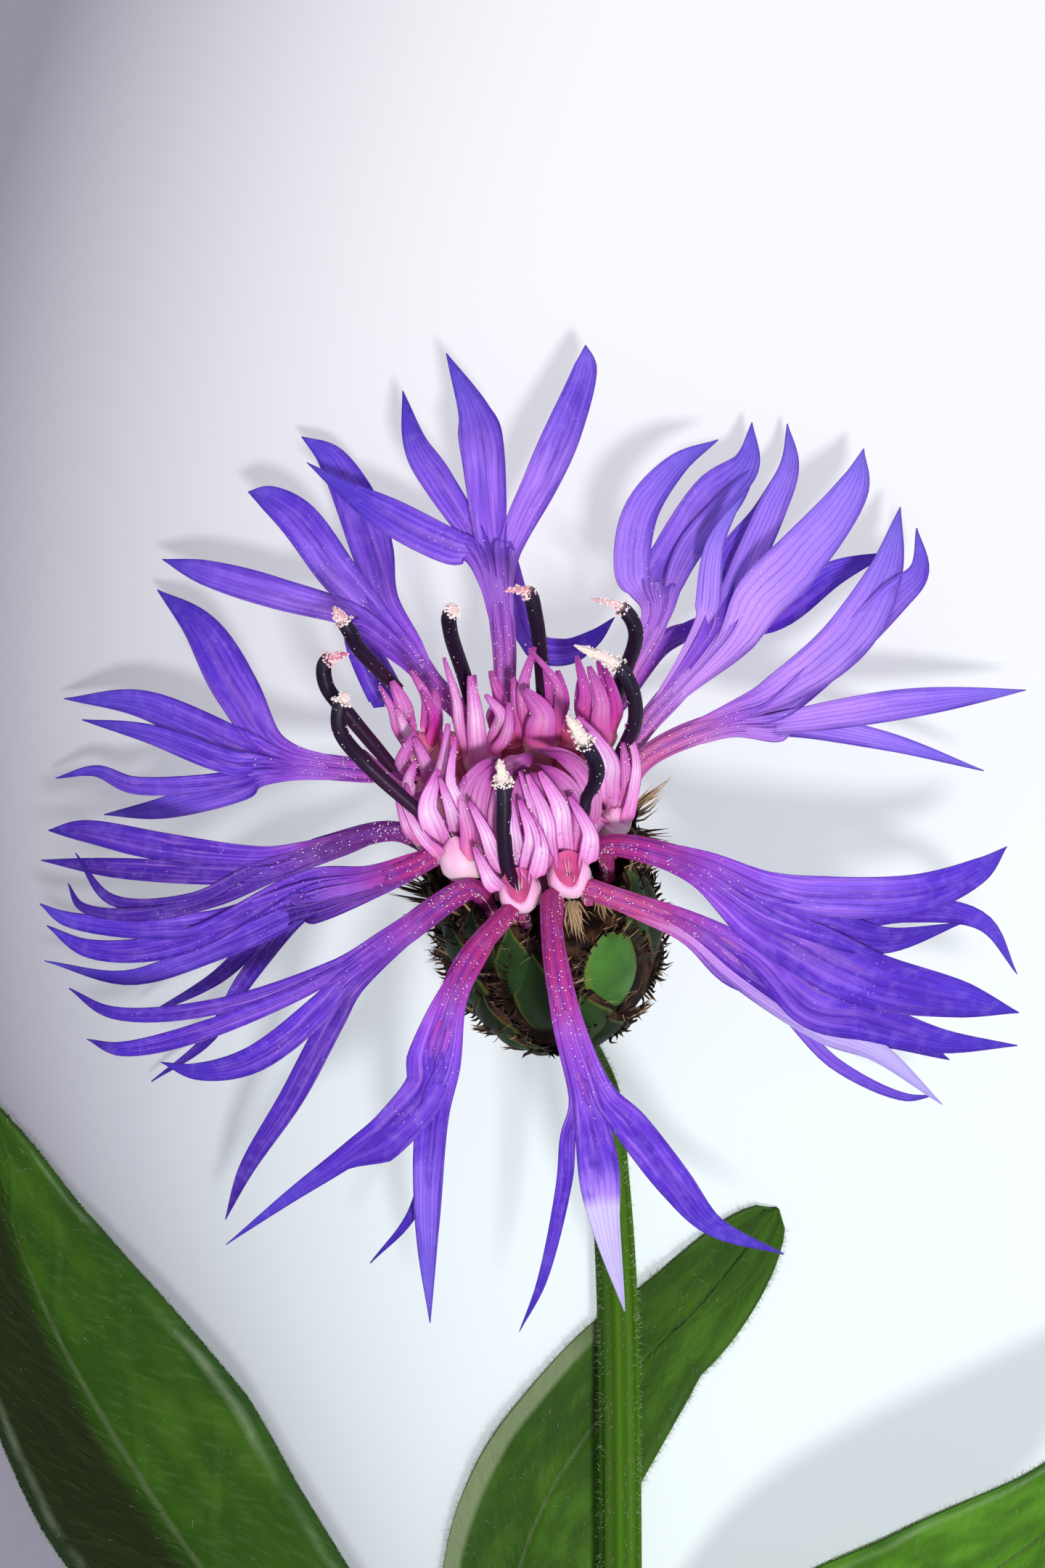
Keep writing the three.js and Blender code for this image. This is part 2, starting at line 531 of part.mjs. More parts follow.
// A leaf: path of its midrib from the stem to the tip, half widths of its two sides, and how far
// the sides rise from the midrib, as shares of their width.
const leaves = {
  leaf_left: {
    path: [[2.2, -63, 2.4], [-5, -59.5, 4], [-14.5, -54, 5], [-24.5, -42, 4.5], [-29, -35.5, 4],
      [-34, -27.5, 2.6], [-37, -21, 1.6], [-39, -15, 1], [-41.5, -9, 0.3]],
    left: 6.5, right: 8.5, riseLeft: 0.65, riseRight: 0.25,
  },
  leaf_middle: {
    path: [[2.2, -58, 2.2], [-1.5, -54.5, 1.8], [-3.3, -49, 1.2], [-2.5, -43, 0.7], [-0.5, -38, 0.5],
      [2, -34, 0.45], [6.2, -28.4, 0.5], [10, -24.6, 0.6], [15.5, -18, 0.28]],
    left: 5.6, right: 5.2, riseLeft: 0.06, riseRight: 0.06,
  },
  leaf_right: {
    path: [[6.4, -61, 2.6], [10, -54.5, 6.5], [17, -47, 12], [25, -42, 15.5], [32.5, -36.5, 16.5],
      [38, -30, 15]],
    left: 6, right: 6, riseLeft: 0.2, riseRight: 0.3,
  },
};

function leafBlade(leaf) {
  const sideOf = (column, left, right) => (column < 0 ? left : right);
  const shape = (along) => Math.sin(Math.PI * Math.min(0.03 + 0.94 * along, 0.97)) ** 0.8;
  const wave = (along, column) => 0.25 * Math.sin(along * 19 + column * 2) * Math.abs(column);
  return curvedBlade(leaf.path.map(vector), {
    columns: [-1, -0.5, 0, 0.5, 1],
    steps: 10,
    halfWidthAt: (along, column) => Math.max(sideOf(column, leaf.left, leaf.right) * shape(along), 0.5),
    liftAt: (along, column) => {
      const side = sideOf(column, leaf.left * leaf.riseLeft, leaf.right * leaf.riseRight);
      return (side * Math.abs(column) + wave(along, column)) * shape(along);
    },
  }).subtract(belowTable()).subtract(stemRod(clearance));
}

// ---- materials and assembly ----

function finish(color, roughness) {
  return new THREE.MeshStandardMaterial({ color, roughness, metalness: 0 });
}

const stemFinish = finish(0x6f8a4a, 0.7);
const leafFinish = finish(0x5b7a3c, 0.7);
const bractFinish = finish(0x567233, 0.65);
const rayFinish = finish(0x5d55c8, 0.6);
const discFinish = finish(0xb37fc0, 0.6);
const antherFinish = finish(0x1d1430, 0.4);

function piece(name, solid, material) {
  const mesh = new THREE.Mesh(geometryOf(solid), material);
  mesh.name = name;
  return mesh;
}

const flowerHead = new THREE.Group();
flowerHead.add(piece('involucre', involucre(), bractFinish));
flowerHead.add(piece('disc_florets', discBody(), discFinish));
rays.forEach((ray, index) => {
  const number = String(index + 1).padStart(2, '0');
  flowerHead.add(piece(`ray_floret_${number}`, rayFloret(ray), rayFinish));
});
anthers.forEach((path, index) => {
  const number = String(index + 1).padStart(2, '0');
  flowerHead.add(piece(`anther_tube_${number}`, antherRod(path), antherFinish));
});

const leafyStem = new THREE.Group();
leafyStem.add(piece('stem', stem(), stemFinish));
for (const [name, leaf] of Object.entries(leaves)) {
  leafyStem.add(piece(name, leafBlade(leaf), leafFinish));
}

const cornflower = new THREE.Group();
cornflower.add(flowerHead, leafyStem);

export default cornflower;
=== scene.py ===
import math
import random

import bpy
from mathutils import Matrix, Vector, noise


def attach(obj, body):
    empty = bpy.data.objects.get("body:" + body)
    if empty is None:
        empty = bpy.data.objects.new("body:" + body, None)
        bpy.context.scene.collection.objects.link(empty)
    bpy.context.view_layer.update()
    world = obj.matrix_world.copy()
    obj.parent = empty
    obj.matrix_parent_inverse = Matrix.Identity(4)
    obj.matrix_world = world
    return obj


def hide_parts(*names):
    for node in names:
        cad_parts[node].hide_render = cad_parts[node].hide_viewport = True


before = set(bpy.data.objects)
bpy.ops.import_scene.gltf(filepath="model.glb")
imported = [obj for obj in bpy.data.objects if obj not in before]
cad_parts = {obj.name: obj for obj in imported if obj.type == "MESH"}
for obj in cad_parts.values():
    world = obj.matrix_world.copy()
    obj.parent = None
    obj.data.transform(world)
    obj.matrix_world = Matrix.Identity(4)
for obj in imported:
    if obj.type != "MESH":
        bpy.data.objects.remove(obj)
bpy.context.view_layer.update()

mm = 0.001  # every length below is in millimetres until it is placed
upward = Vector((0, 0, 1))
smoothAngle = 40  # degrees; flatter edges than this are smoothed
goldenAngle = 137.5  # degrees
looseReach = 3.0  # what reach counts from on needles and grains; surfaces stay below it


# the head's own frame, as the solids have it
rimCentre = Vector((-1.5, 6.1, 12.75))
headAxis = Vector((-0.185, 0.743, 0.643)).normalized()
sideAxis = Vector((0.970, 0.242, 0.0)).normalized()
backAxis = headAxis.cross(sideAxis).normalized()
receptacleTop = -0.25


def headPoint(turn, radius, height):
    angle = math.radians(turn)
    around = sideAxis * math.cos(angle) + backAxis * math.sin(angle)
    return rimCentre + around * radius + headAxis * height


# which stretch of a row of values a share of its length falls in, and how far into it
def stretchAt(count, along):
    place = min(max(along, 0.0), 1.0) * (count - 1)
    index = min(int(place), count - 2)
    return index, place - index


def valueAlong(values, along):
    index, share = stretchAt(len(values), along)
    return values[index] * (1 - share) + values[index + 1] * share


# how far a value has come over a stretch, from 0 to 1
def progress(value, start, length):
    return min(max((value - start) / length, 0), 1)


# the part of a direction that stands square to a heading
def squareTo(heading, direction):
    return (direction - heading * direction.dot(heading)).normalized()


# what the ribs around a sleeve multiply its radius by
def ribbed(depth, ribs, angle):
    return 1 + depth * math.cos(ribs * angle)


def strayVector(draw, rise=1.0):
    return Vector((draw.gauss(0, 1), draw.gauss(0, 1), draw.gauss(0, rise)))


# a smooth line through given points
class Path:

    def __init__(self, points):
        self.points = [Vector(point) for point in points]

    def point(self, along):
        points = self.points
        index, part = stretchAt(len(points), along)
        first, last = points[index], points[index + 1]
        before = points[index - 1] if index > 0 else first * 2 - last
        after = points[index + 2] if index + 2 < len(points) else last * 2 - first
        spans = [max((b - a).length, 1e-6) ** 0.5 for a, b in ((before, first), (first, last), (last, after))]
        inTurn = ((first - before) / spans[0] - (last - before) / (spans[0] + spans[1])
                  + (last - first) / spans[1]) * spans[1]
        outTurn = ((last - first) / spans[1] - (after - first) / (spans[1] + spans[2])
                   + (after - last) / spans[2]) * spans[1]
        square, cube = part * part, part ** 3
        return (first * (2 * cube - 3 * square + 1) + inTurn * (cube - 2 * square + part)
                + last * (3 * square - 2 * cube) + outTurn * (cube - square))

    def heading(self, along):
        step = 0.002
        ahead, behind = min(along + step, 1.0), max(along - step, 0.0)
        return (self.point(ahead) - self.point(behind)).normalized()


def clearSelection():
    bpy.ops.object.select_all(action="DESELECT")


def selectOnly(*pieces):
    clearSelection()
    for piece in pieces:
        piece.select_set(True)
    bpy.context.view_layer.objects.active = pieces[0]


def linkedObject(name, data):
    holder = bpy.data.objects.new(name, data)
    bpy.context.collection.objects.link(holder)
    return holder


# what the finishes read at each point: reach counts 0 at a root, 1 where it parts, 2 at a tip and
# more on hairs and grains, across runs over a piece's width, and tone is its shade
def noteOn(piece, reach, across, tone):
    for name, values in (("reach", reach), ("across", across), ("tone", tone)):
        attribute = piece.data.attributes.new(name=name, type="FLOAT", domain="POINT")
        attribute.data.foreach_set("value", values)


# a grid pulled into shape: column runs from -1 to 1 over its width and along from 0 to 1 over its length
def gridPiece(name, look, pointAt, reachAt, acrossAt, toneAt):
    clearSelection()
    bpy.ops.mesh.primitive_grid_add(x_subdivisions=look["columns"], y_subdivisions=look["rows"], size=2)
    piece = bpy.context.object
    piece.name = name
    notes = []
    for vertex in piece.data.vertices:
        column, along = vertex.co.x, (vertex.co.y + 1) / 2
        vertex.co = pointAt(along, column) * mm
        notes.append((reachAt(along), acrossAt(column), toneAt(along, column)))
    noteOn(piece, *zip(*notes))
    return piece


def applyModifier(piece, kind, **settings):
    modifier = piece.modifiers.new(kind.title(), kind)
    for key, value in settings.items():
        setattr(modifier, key, value)
    bpy.context.view_layer.objects.active = piece
    bpy.ops.object.modifier_apply(modifier=modifier.name)


# a point of a blade, and the ways along it, out of it and to its side there
def bladePoint(path, along, facing, column, halfWidth, lift):
    heading = path.heading(along)
    normal = squareTo(heading, facing)
    side = heading.cross(normal)
    return path.point(along) + side * column * halfWidth + normal * lift, heading, normal, side


# a thin leaf-like sheet along a path: look gives widths, folds and shades
def bladePiece(name, path, look):
    path = Path(path)
    facingAt = look.get("facingAt", lambda along: upward)

    def pointAt(along, column):
        halfWidth, lift = look["halfWidthAt"](along, column), look["liftAt"](along, column)
        return bladePoint(path, along, facingAt(along), column, halfWidth, lift)[0]

    piece = gridPiece(name, look, pointAt, look["reachAt"], lambda column: column,
                      look.get("toneAt", lambda along, column: look["tone"]))
    applyModifier(piece, "SOLIDIFY", thickness=look["thickness"] * mm, offset=0)
    return piece


# a round or ribbed sleeve along a path
def sleevePiece(name, path, look):
    path = Path(path)
    flatAt = look.get("flatAt", lambda along: 1.0)
    shiftAt = look.get("shiftAt", lambda along, away: Vector())
    toneAt = look.get("toneAt", lambda along, angle: look["tone"])
    middle, swing = look.get("acrossFrom", 0), look.get("acrossBy", 1)
    side, frames = Vector((1, 0.1, 0)), []
    for row in range(look["rows"] + 1):
        along = row / look["rows"]
        heading = path.heading(along)
        side = squareTo(heading, heading.cross(upward) if look.get("upright") else side)
        frames.append((path.point(along), side, side.cross(heading)))

    def angleAt(column):
        return (column + 1) * math.pi

    def pointAt(along, column):
        centre, sideways, up = frames[round(along * look["rows"])]
        angle = angleAt(column)
        radius = look["radiusAt"](along, angle)
        place = (centre + sideways * math.cos(angle) * radius
                 + up * math.sin(angle) * radius * flatAt(along))
        return place + shiftAt(along, (place - centre).normalized())

    piece = gridPiece(name, look, pointAt, look.get("reachAt", lambda along: along),
                      lambda column: middle + swing * math.cos(angleAt(column) * look["ribs"]),
                      lambda along, column: toneAt(along, angleAt(column)))
    selectOnly(piece)
    bpy.ops.object.mode_set(mode="EDIT")
    bpy.ops.mesh.select_all(action="SELECT")
    bpy.ops.mesh.remove_doubles(threshold=0.000002)
    bpy.ops.mesh.normals_make_consistent(inside=False)
    bpy.ops.object.mode_set(mode="OBJECT")
    if look.get("thickness"):
        applyModifier(piece, "SOLIDIFY", thickness=look["thickness"] * mm, offset=-1)
    return piece


def scatteredPiece(name, points, faces, reach, tone):
    mesh = bpy.data.meshes.new(name)
    mesh.from_pydata(points, [], faces)
    piece = linkedObject(name, mesh)
    noteOn(piece, reach, [0.0] * len(points), tone)
    return piece


# many slim three-sided needles in one mesh: each is foot, tip, radius, reach, tone and perhaps a bend
def needlesPiece(name, needles):
    points, faces, reach, tone = [], [], [], []
    for foot, tip, radius, footReach, shade, *bend in needles:
        heading = (tip - foot).normalized()
        side = heading.orthogonal().normalized()
        up = heading.cross(side)
        first = len(points)
        for place, size, part in [(foot, radius, 0.0)] + [(place, radius * 0.7, 0.5) for place in bend]:
            for corner in range(3):
                angle = corner / 3 * math.tau
                points.append((place + (side * math.cos(angle) + up * math.sin(angle)) * size) * mm)
                reach.append(footReach + part)
        points.append(tip * mm)
        reach.append(footReach + 1)
        tone.extend([shade] * (len(points) - first))
        last = len(points) - 4
        for ring in range(first, last, 3):
            for corner in range(3):
                after = (corner + 1) % 3
                faces.append((ring + corner, ring + after, ring + 3 + after, ring + 3 + corner))
        for corner in range(3):
            faces.append((last + corner, last + (corner + 1) % 3, last + 3))
        faces.append((first + 2, first + 1, first))
    return scatteredPiece(name, points, faces, reach, tone)


# pollen: tiny eight-faced grains, each a centre, a radius and a tone
def grainsPiece(name, grains):
    corners = [sign * axis for axis in (Vector((1, 0, 0)), Vector((0, 1, 0)), upward) for sign in (1, -1)]
    sides = [(0, 2, 4), (2, 1, 4), (1, 3, 4), (3, 0, 4), (2, 0, 5), (1, 2, 5), (3, 1, 5), (0, 3, 5)]
    points, faces, tone = [], [], []
    for centre, radius, shade in grains:
        first = len(points)
        points.extend((centre + corner * radius) * mm for corner in corners)
        faces.extend(tuple(first + index for index in side) for side in sides)
        tone.extend([shade] * len(corners))
    return scatteredPiece(name, points, faces, [looseReach] * len(points), tone)


def joinPieces(name, pieces):
    selectOnly(*pieces)
    bpy.ops.object.join()
    whole = bpy.context.object
    whole.name = name
    return whole


# the cup and the leaves touch the ground, and nothing of them dips below it
def restOnGround(piece):
    for vertex in piece.data.vertices:
        vertex.co.z = max(vertex.co.z, 0.0)


def finishPiece(piece, material, nodes):
    piece.data.materials.clear()
    piece.data.materials.append(material)
    selectOnly(piece)
    bpy.ops.object.shade_smooth_by_angle(angle=math.radians(smoothAngle))
    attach(piece, "root")
    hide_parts(*nodes)


# a shader socket that can be used in sums
class Wire:

    def __init__(self, finish, socket):
        self.finish, self.socket = finish, socket

    def __abs__(self):
        return self.finish.maths("ABSOLUTE", self)

    def __add__(self, other):
        return self.finish.maths("ADD", self, other)

    def __sub__(self, other):
        return self.finish.maths("SUBTRACT", self, other)

    def __rsub__(self, other):
        return self.finish.maths("SUBTRACT", other, self)

    def __mul__(self, other):
        return self.finish.maths("MULTIPLY", self, other)

    def __truediv__(self, other):
        return self.finish.maths("DIVIDE", self, other)

    def __pow__(self, other):
        return self.finish.maths("POWER", self, other)

    __radd__, __rmul__ = __add__, __mul__


# one material, with its nodes added as its shades are worked out
class Finish:

    def __init__(self, name, **shader):
        self.material = bpy.data.materials.new(name)
        self.material.use_nodes = True
        self.tree = self.material.node_tree
        self.shader = self.tree.nodes["Principled BSDF"]
        self.color = None
        for key, value in shader.items():
            self.shader.inputs[key.replace("_", " ")].default_value = value

    def node(self, kind, settings=None, inputs=None):
        node = self.tree.nodes.new(kind)
        for key, value in (settings or {}).items():
            if key == "stops":
                ramp = node.color_ramp
                while len(ramp.elements) > 1:
                    ramp.elements.remove(ramp.elements[-1])
                ramp.elements[0].position, ramp.elements[0].color = value[0][0], (*value[0][1], 1)
                for position, color in value[1:]:
                    ramp.elements.new(position).color = (*color, 1)
            else:
                setattr(node, key, value)
        for key, value in (inputs or {}).items():
            if isinstance(value, Wire):
                self.tree.links.new(value.socket, node.inputs[key])
            else:
                node.inputs[key].default_value = value
        return node

    def wire(self, output, kind, settings=None, inputs=None):
        return Wire(self, self.node(kind, settings, inputs).outputs[output])

    def maths(self, operation, first, second=0.0, clamp=False):
        settings = {"operation": operation, "use_clamp": clamp}
        return self.wire(0, "ShaderNodeMath", settings, {0: first, 1: second})

    def notes(self):
        return [self.wire("Fac", "ShaderNodeAttribute", {"attribute_name": name})
                for name in ("reach", "across", "tone")]

    def place(self):
        return self.wire("Object", "ShaderNodeTexCoord")

    def plane(self, first, second):
        return self.wire("Vector", "ShaderNodeCombineXYZ", None, {"X": first, "Y": second})

    def noise(self, scale, detail=2.0, stretch=None, place=None):
        place = place or self.place()
        if stretch:
            place = self.wire("Vector", "ShaderNodeMapping", None, {"Vector": place, "Scale": stretch})
        inputs = {"Vector": place, "Scale": scale, "Detail": detail}
        return self.wire("Fac", "ShaderNodeTexNoise", None, inputs)

    def spots(self, scale):
        return self.wire("Distance", "ShaderNodeTexVoronoi", None, {"Vector": self.place(), "Scale": scale})

    def ramp(self, value, stops):
        return self.wire("Color", "ShaderNodeValToRGB", {"stops": stops}, {"Fac": value})

    def mix(self, factor, first, second):
        first, second = [color if isinstance(color, Wire) else (*color, 1) for color in (first, second)]
        return self.wire(2, "ShaderNodeMix", {"data_type": "RGBA"}, {0: factor, 6: first, 7: second})

    # lays a colour over the one so far
    def coat(self, amount, color):
        self.color = self.mix(amount, self.color, color)

    # rises from 0 to 1 as the value goes from low to high
    def step(self, value, low, high):
        return self.maths("ADD", (value - low) / (high - low), clamp=True)

    # an emission colour, where given, is painted light
    def shade(self, roughness, bump, bumpHeight, paintedLight=None):
        for key, wire in (("Base Color", self.color), ("Emission Color", paintedLight), ("Roughness", roughness)):
            if wire is not None:
                self.tree.links.new(wire.socket, self.shader.inputs[key])
        raised = self.wire("Normal", "ShaderNodeBump", None, {"Height": bump, "Distance": bumpHeight * mm,
                                                              "Strength": 1.0})
        self.tree.links.new(raised.socket, self.shader.inputs["Normal"])
        return self.material


def petalFinish():
    look = Finish("petal", Subsurface_Weight=0.10, Subsurface_Radius=(0.0008, 0.0004, 0.0012),
                  Subsurface_Scale=1.0, Specular_IOR_Level=0.16)
    reach, across, tone = look.notes()
    base = look.ramp(reach / 2.0, [
        (0.0, (0.46, 0.04, 0.15)), (0.20, (0.46, 0.030, 0.19)), (0.28, (0.37, 0.036, 0.34)),
        (0.36, (0.26, 0.050, 0.55)), (0.46, (0.17, 0.050, 0.61)), (0.62, (0.110, 0.036, 0.57)),
        (0.8, (0.070, 0.028, 0.52)), (1.0, (0.048, 0.030, 0.45))])
    pale = look.ramp(reach / 2.0, [
        (0.0, (0.58, 0.10, 0.26)), (0.22, (0.60, 0.15, 0.38)), (0.34, (0.54, 0.24, 0.72)),
        (0.5, (0.50, 0.28, 0.84)), (0.75, (0.34, 0.20, 0.86)), (1.0, (0.17, 0.14, 0.72))])
    drift = look.noise(110, 2.0)
    blend = tone + (drift - 0.5) * 1.1
    look.color = look.mix(blend, base, pale)
    # painted shade: a tone below 0 darkens a lobe lying in shade to a deep violet
    look.coat(look.step(blend, 0.0, -0.6) * 0.8, (0.038, 0.013, 0.19))
    lobe = look.step(reach, 0.9, 1.15)
    wander = look.noise(300, 2.0) - 0.5
    streak = look.step(abs(across + wander * 1.2), 0.42, 0.0) * lobe * look.step(reach, 1.9, 1.4)
    look.coat(streak * (1.0 - tone) * 0.6, (0.036, 0.008, 0.28))
    threads = look.step(look.maths("SINE", across * 21.0 + wander * 6.0), 0.72, 1.0)
    look.coat(threads * 0.28, (0.048, 0.010, 0.21))
    onTube = look.step(across, 1.2, 1.4)
    # the furrows between the tube's ribs are darker: partly its dark lines, partly painted shade in the
    # creases
    furrows = look.step(across, 2.1, 1.55) * onTube * look.step(reach, 0.1, 0.5)
    look.coat(furrows * 0.55, (0.080, 0.008, 0.28))
    rims = look.step(abs(across), 0.78, 1.0) * (1.0 - onTube) * look.step(reach, 0.3, 0.6)
    look.coat(rims * 0.5, (0.032, 0.008, 0.26))
    fibres = look.plane(reach * 1.3 + look.noise(60, 1.0) * 7.0, across * 2.4 + look.noise(90, 1.0) * 3.0)
    drawn = look.noise(1.0, 3.0, place=fibres)
    # painted highlights: pale lilac streaks along the fibres of the lobes
    paintedLight = look.step(drawn, 0.48, 0.68) * look.step(reach, 0.5, 0.8) * look.step(reach, 1.8, 1.2)
    look.coat(paintedLight * 0.38, (0.52, 0.24, 0.80))
    # painted shade: dark streaks in the folds of the lobes
    shade = look.step(drawn, 0.46, 0.30) * look.step(reach, 0.4, 0.7)
    look.coat(shade * 0.5, (0.050, 0.012, 0.28))
    # tones above 1 turn towards a whitish lilac
    whitishLilac = look.step(tone, 1.0, 1.4) * look.step(reach, 1.0, 1.25)
    look.coat(whitishLilac * 0.75, (0.60, 0.54, 0.84))
    mottled = look.noise(1100, 3.0)
    look.coat(look.step(mottled, 0.5, 0.8) * 0.20, (0.36, 0.24, 0.84))
    specks = look.step(look.spots(2600), 0.2, 0.12) * look.step(look.noise(260, 2.0), 0.5, 0.62)
    look.coat(specks * look.step(reach, 1.9, 0.9) * 0.5, (0.7, 0.5, 0.75))
    look.coat(look.step(reach, 2.7, 2.9), (0.86, 0.70, 0.80))
    roughness = 0.46 + look.noise(700, 2.0) * 0.2
    return look.shade(roughness, threads * -0.6 + mottled * 0.5, 0.04)


def discFinish():
    look = Finish("innerFloret", Subsurface_Weight=0.2, Subsurface_Radius=(0.0012, 0.0005, 0.0009),
                  Subsurface_Scale=1.0, Specular_IOR_Level=0.35)
    reach, across, tone = look.notes()
    # the pale stop at 0.76 of this ramp is a painted highlight along the lobes
    light = look.ramp(reach / 2.0, [
        (0.0, (0.52, 0.12, 0.26)), (0.16, (0.74, 0.42, 0.52)), (0.25, (0.86, 0.64, 0.70)),
        (0.34, (0.78, 0.42, 0.62)), (0.45, (0.70, 0.18, 0.48)), (0.58, (0.78, 0.34, 0.70)),
        (0.76, (0.92, 0.64, 0.92)), (0.9, (0.74, 0.30, 0.70)), (1.0, (0.50, 0.05, 0.40))])
    dark = look.ramp(reach / 2.0, [
        (0.0, (0.46, 0.05, 0.14)), (0.36, (0.54, 0.04, 0.15)), (0.6, (0.54, 0.022, 0.26)),
        (0.85, (0.44, 0.022, 0.32)), (1.0, (0.17, 0.008, 0.15))])
    look.color = look.mix(tone, light, dark)
    away = abs(across)
    lobeOnly = look.step(reach, 0.8, 1.1)
    blush = look.step(away + look.noise(300, 2.0) * 0.3, 0.45, 1.1) * lobeOnly
    look.coat(blush * 0.6, (0.56, 0.07, 0.46))
    edges = look.step(away, 0.9, 0.99) * lobeOnly
    look.coat(edges * 0.85, (0.22, 0.01, 0.17))
    streaks = look.step(look.maths("SINE", across * 12.0 + look.noise(400, 1.0) * 2.0), 0.5, 1.0) * lobeOnly
    look.coat(streaks * 0.16, (0.48, 0.05, 0.42))
    mottled = look.noise(1400, 3.0)
    look.coat(look.step(mottled, 0.5, 0.8) * (1.0 - tone) * 0.25, (0.86, 0.62, 0.84))
    look.coat(look.step(reach, 2.0, 2.3), (0.012, 0.004, 0.022))
    look.coat(look.step(reach, 2.7, 2.9), (0.86, 0.66, 0.76))
    roughness = 0.36 + look.noise(900, 2.0) * 0.2
    return look.shade(roughness, mottled + streaks * -0.5, 0.05)


def antherFinish():
    look = Finish("antherColumn", Specular_IOR_Level=0.20)
    reach, across, tone = look.notes()
    look.color = look.ramp(reach, [
        (0.0, (0.030, 0.004, 0.028)), (0.3, (0.012, 0.003, 0.018)), (0.6, (0.006, 0.002, 0.012)),
        (0.71, (0.014, 0.010, 0.028))])
    look.coat(look.step(across, 0.2, 1.0) * 0.35, (0.014, 0.007, 0.034))
    stigma = look.mix(tone, (0.70, 0.62, 0.56), (0.42, 0.03, 0.14))
    stigma = look.mix(look.step(look.noise(2200, 3.0), 0.45, 0.7) * 0.45, stigma, (0.80, 0.46, 0.58))
    look.coat(look.step(reach, 0.74, 0.78), stigma)
    grain = look.mix(tone, (0.92, 0.90, 0.82), (0.80, 0.34, 0.50))
    look.coat(look.step(reach, 2.0, 2.5), grain)
    roughness = 0.48 + look.step(reach, 0.7, 0.9) * 0.3
    return look.shade(roughness, look.noise(1500, 3.0), 0.03)


def bractFinish():
    look = Finish("cupScale", Specular_IOR_Level=0.12)
    reach, across, tone = look.notes()
    away = abs(across)
    # partly painted shade: low tones give the near-black green of bracts lying in shade
    look.color = look.mix(tone, (0.005, 0.010, 0.003), (0.054, 0.168, 0.026))
    look.coat(look.step(look.noise(420, 3.0), 0.4, 0.7) * 0.5, (0.010, 0.020, 0.006))
    tipBand = look.step(reach, 1.5, 1.98) * (1.0 - look.step(tone, 0.6, 0.9)) * 0.6
    nearRim = away + tipBand + look.noise(900, 3.0) * 0.22
    inside = look.step(nearRim, 0.78, 0.94)
    look.coat(inside * 0.5, (0.15, 0.18, 0.03))
    margin = look.step(nearRim, 0.88 + tone * 0.1, 0.96 + tone * 0.1)
    brown = look.mix(look.step(look.noise(900, 3.0), 0.45, 0.7), (0.008, 0.004, 0.003), (0.060, 0.026, 0.014))
    look.coat(margin, brown)
    tooth = look.ramp(reach - looseReach, [
        (0.0, (0.008, 0.004, 0.003)), (0.5, (0.026, 0.012, 0.008)), (0.8, (0.085, 0.045, 0.028)),
        (1.0, (0.26, 0.17, 0.10))])
    tooth = look.mix(look.step(tone, 0.82, 1.0) * 0.8, tooth, (0.46, 0.33, 0.19))
    look.coat(look.step(reach, 2.4, 2.8), tooth)
    roughness = 0.55 + margin * 0.3
    return look.shade(roughness, look.noise(900, 4.0), 0.07)


def stemFinish():
    look = Finish("stalk", Specular_IOR_Level=0.06, Subsurface_Weight=0.05,
                  Subsurface_Radius=(0.0006, 0.0009, 0.0003), Subsurface_Scale=1.0)
    reach, across, tone = look.notes()
    groove = look.step(across, 0.3, -0.9)
    # painted light and shade: low tones take the stalk's shaded green, high tones its lit green
    look.color = look.mix(look.step(tone, 0.15, 0.65), (0.020, 0.054, 0.006), (0.043, 0.126, 0.003))
    look.coat(groove * 0.6, (0.026, 0.060, 0.006))
    look.coat(look.noise(350, 4.0, (1, 0.15, 1)) * 0.4, (0.042, 0.098, 0.007))
    look.coat(look.step(reach, 2.4, 2.6), (0.40, 0.46, 0.30))
    return look.shade(0.5 + groove * 0.2, look.noise(900, 4.0, (1, 0.2, 1)), 0.06)


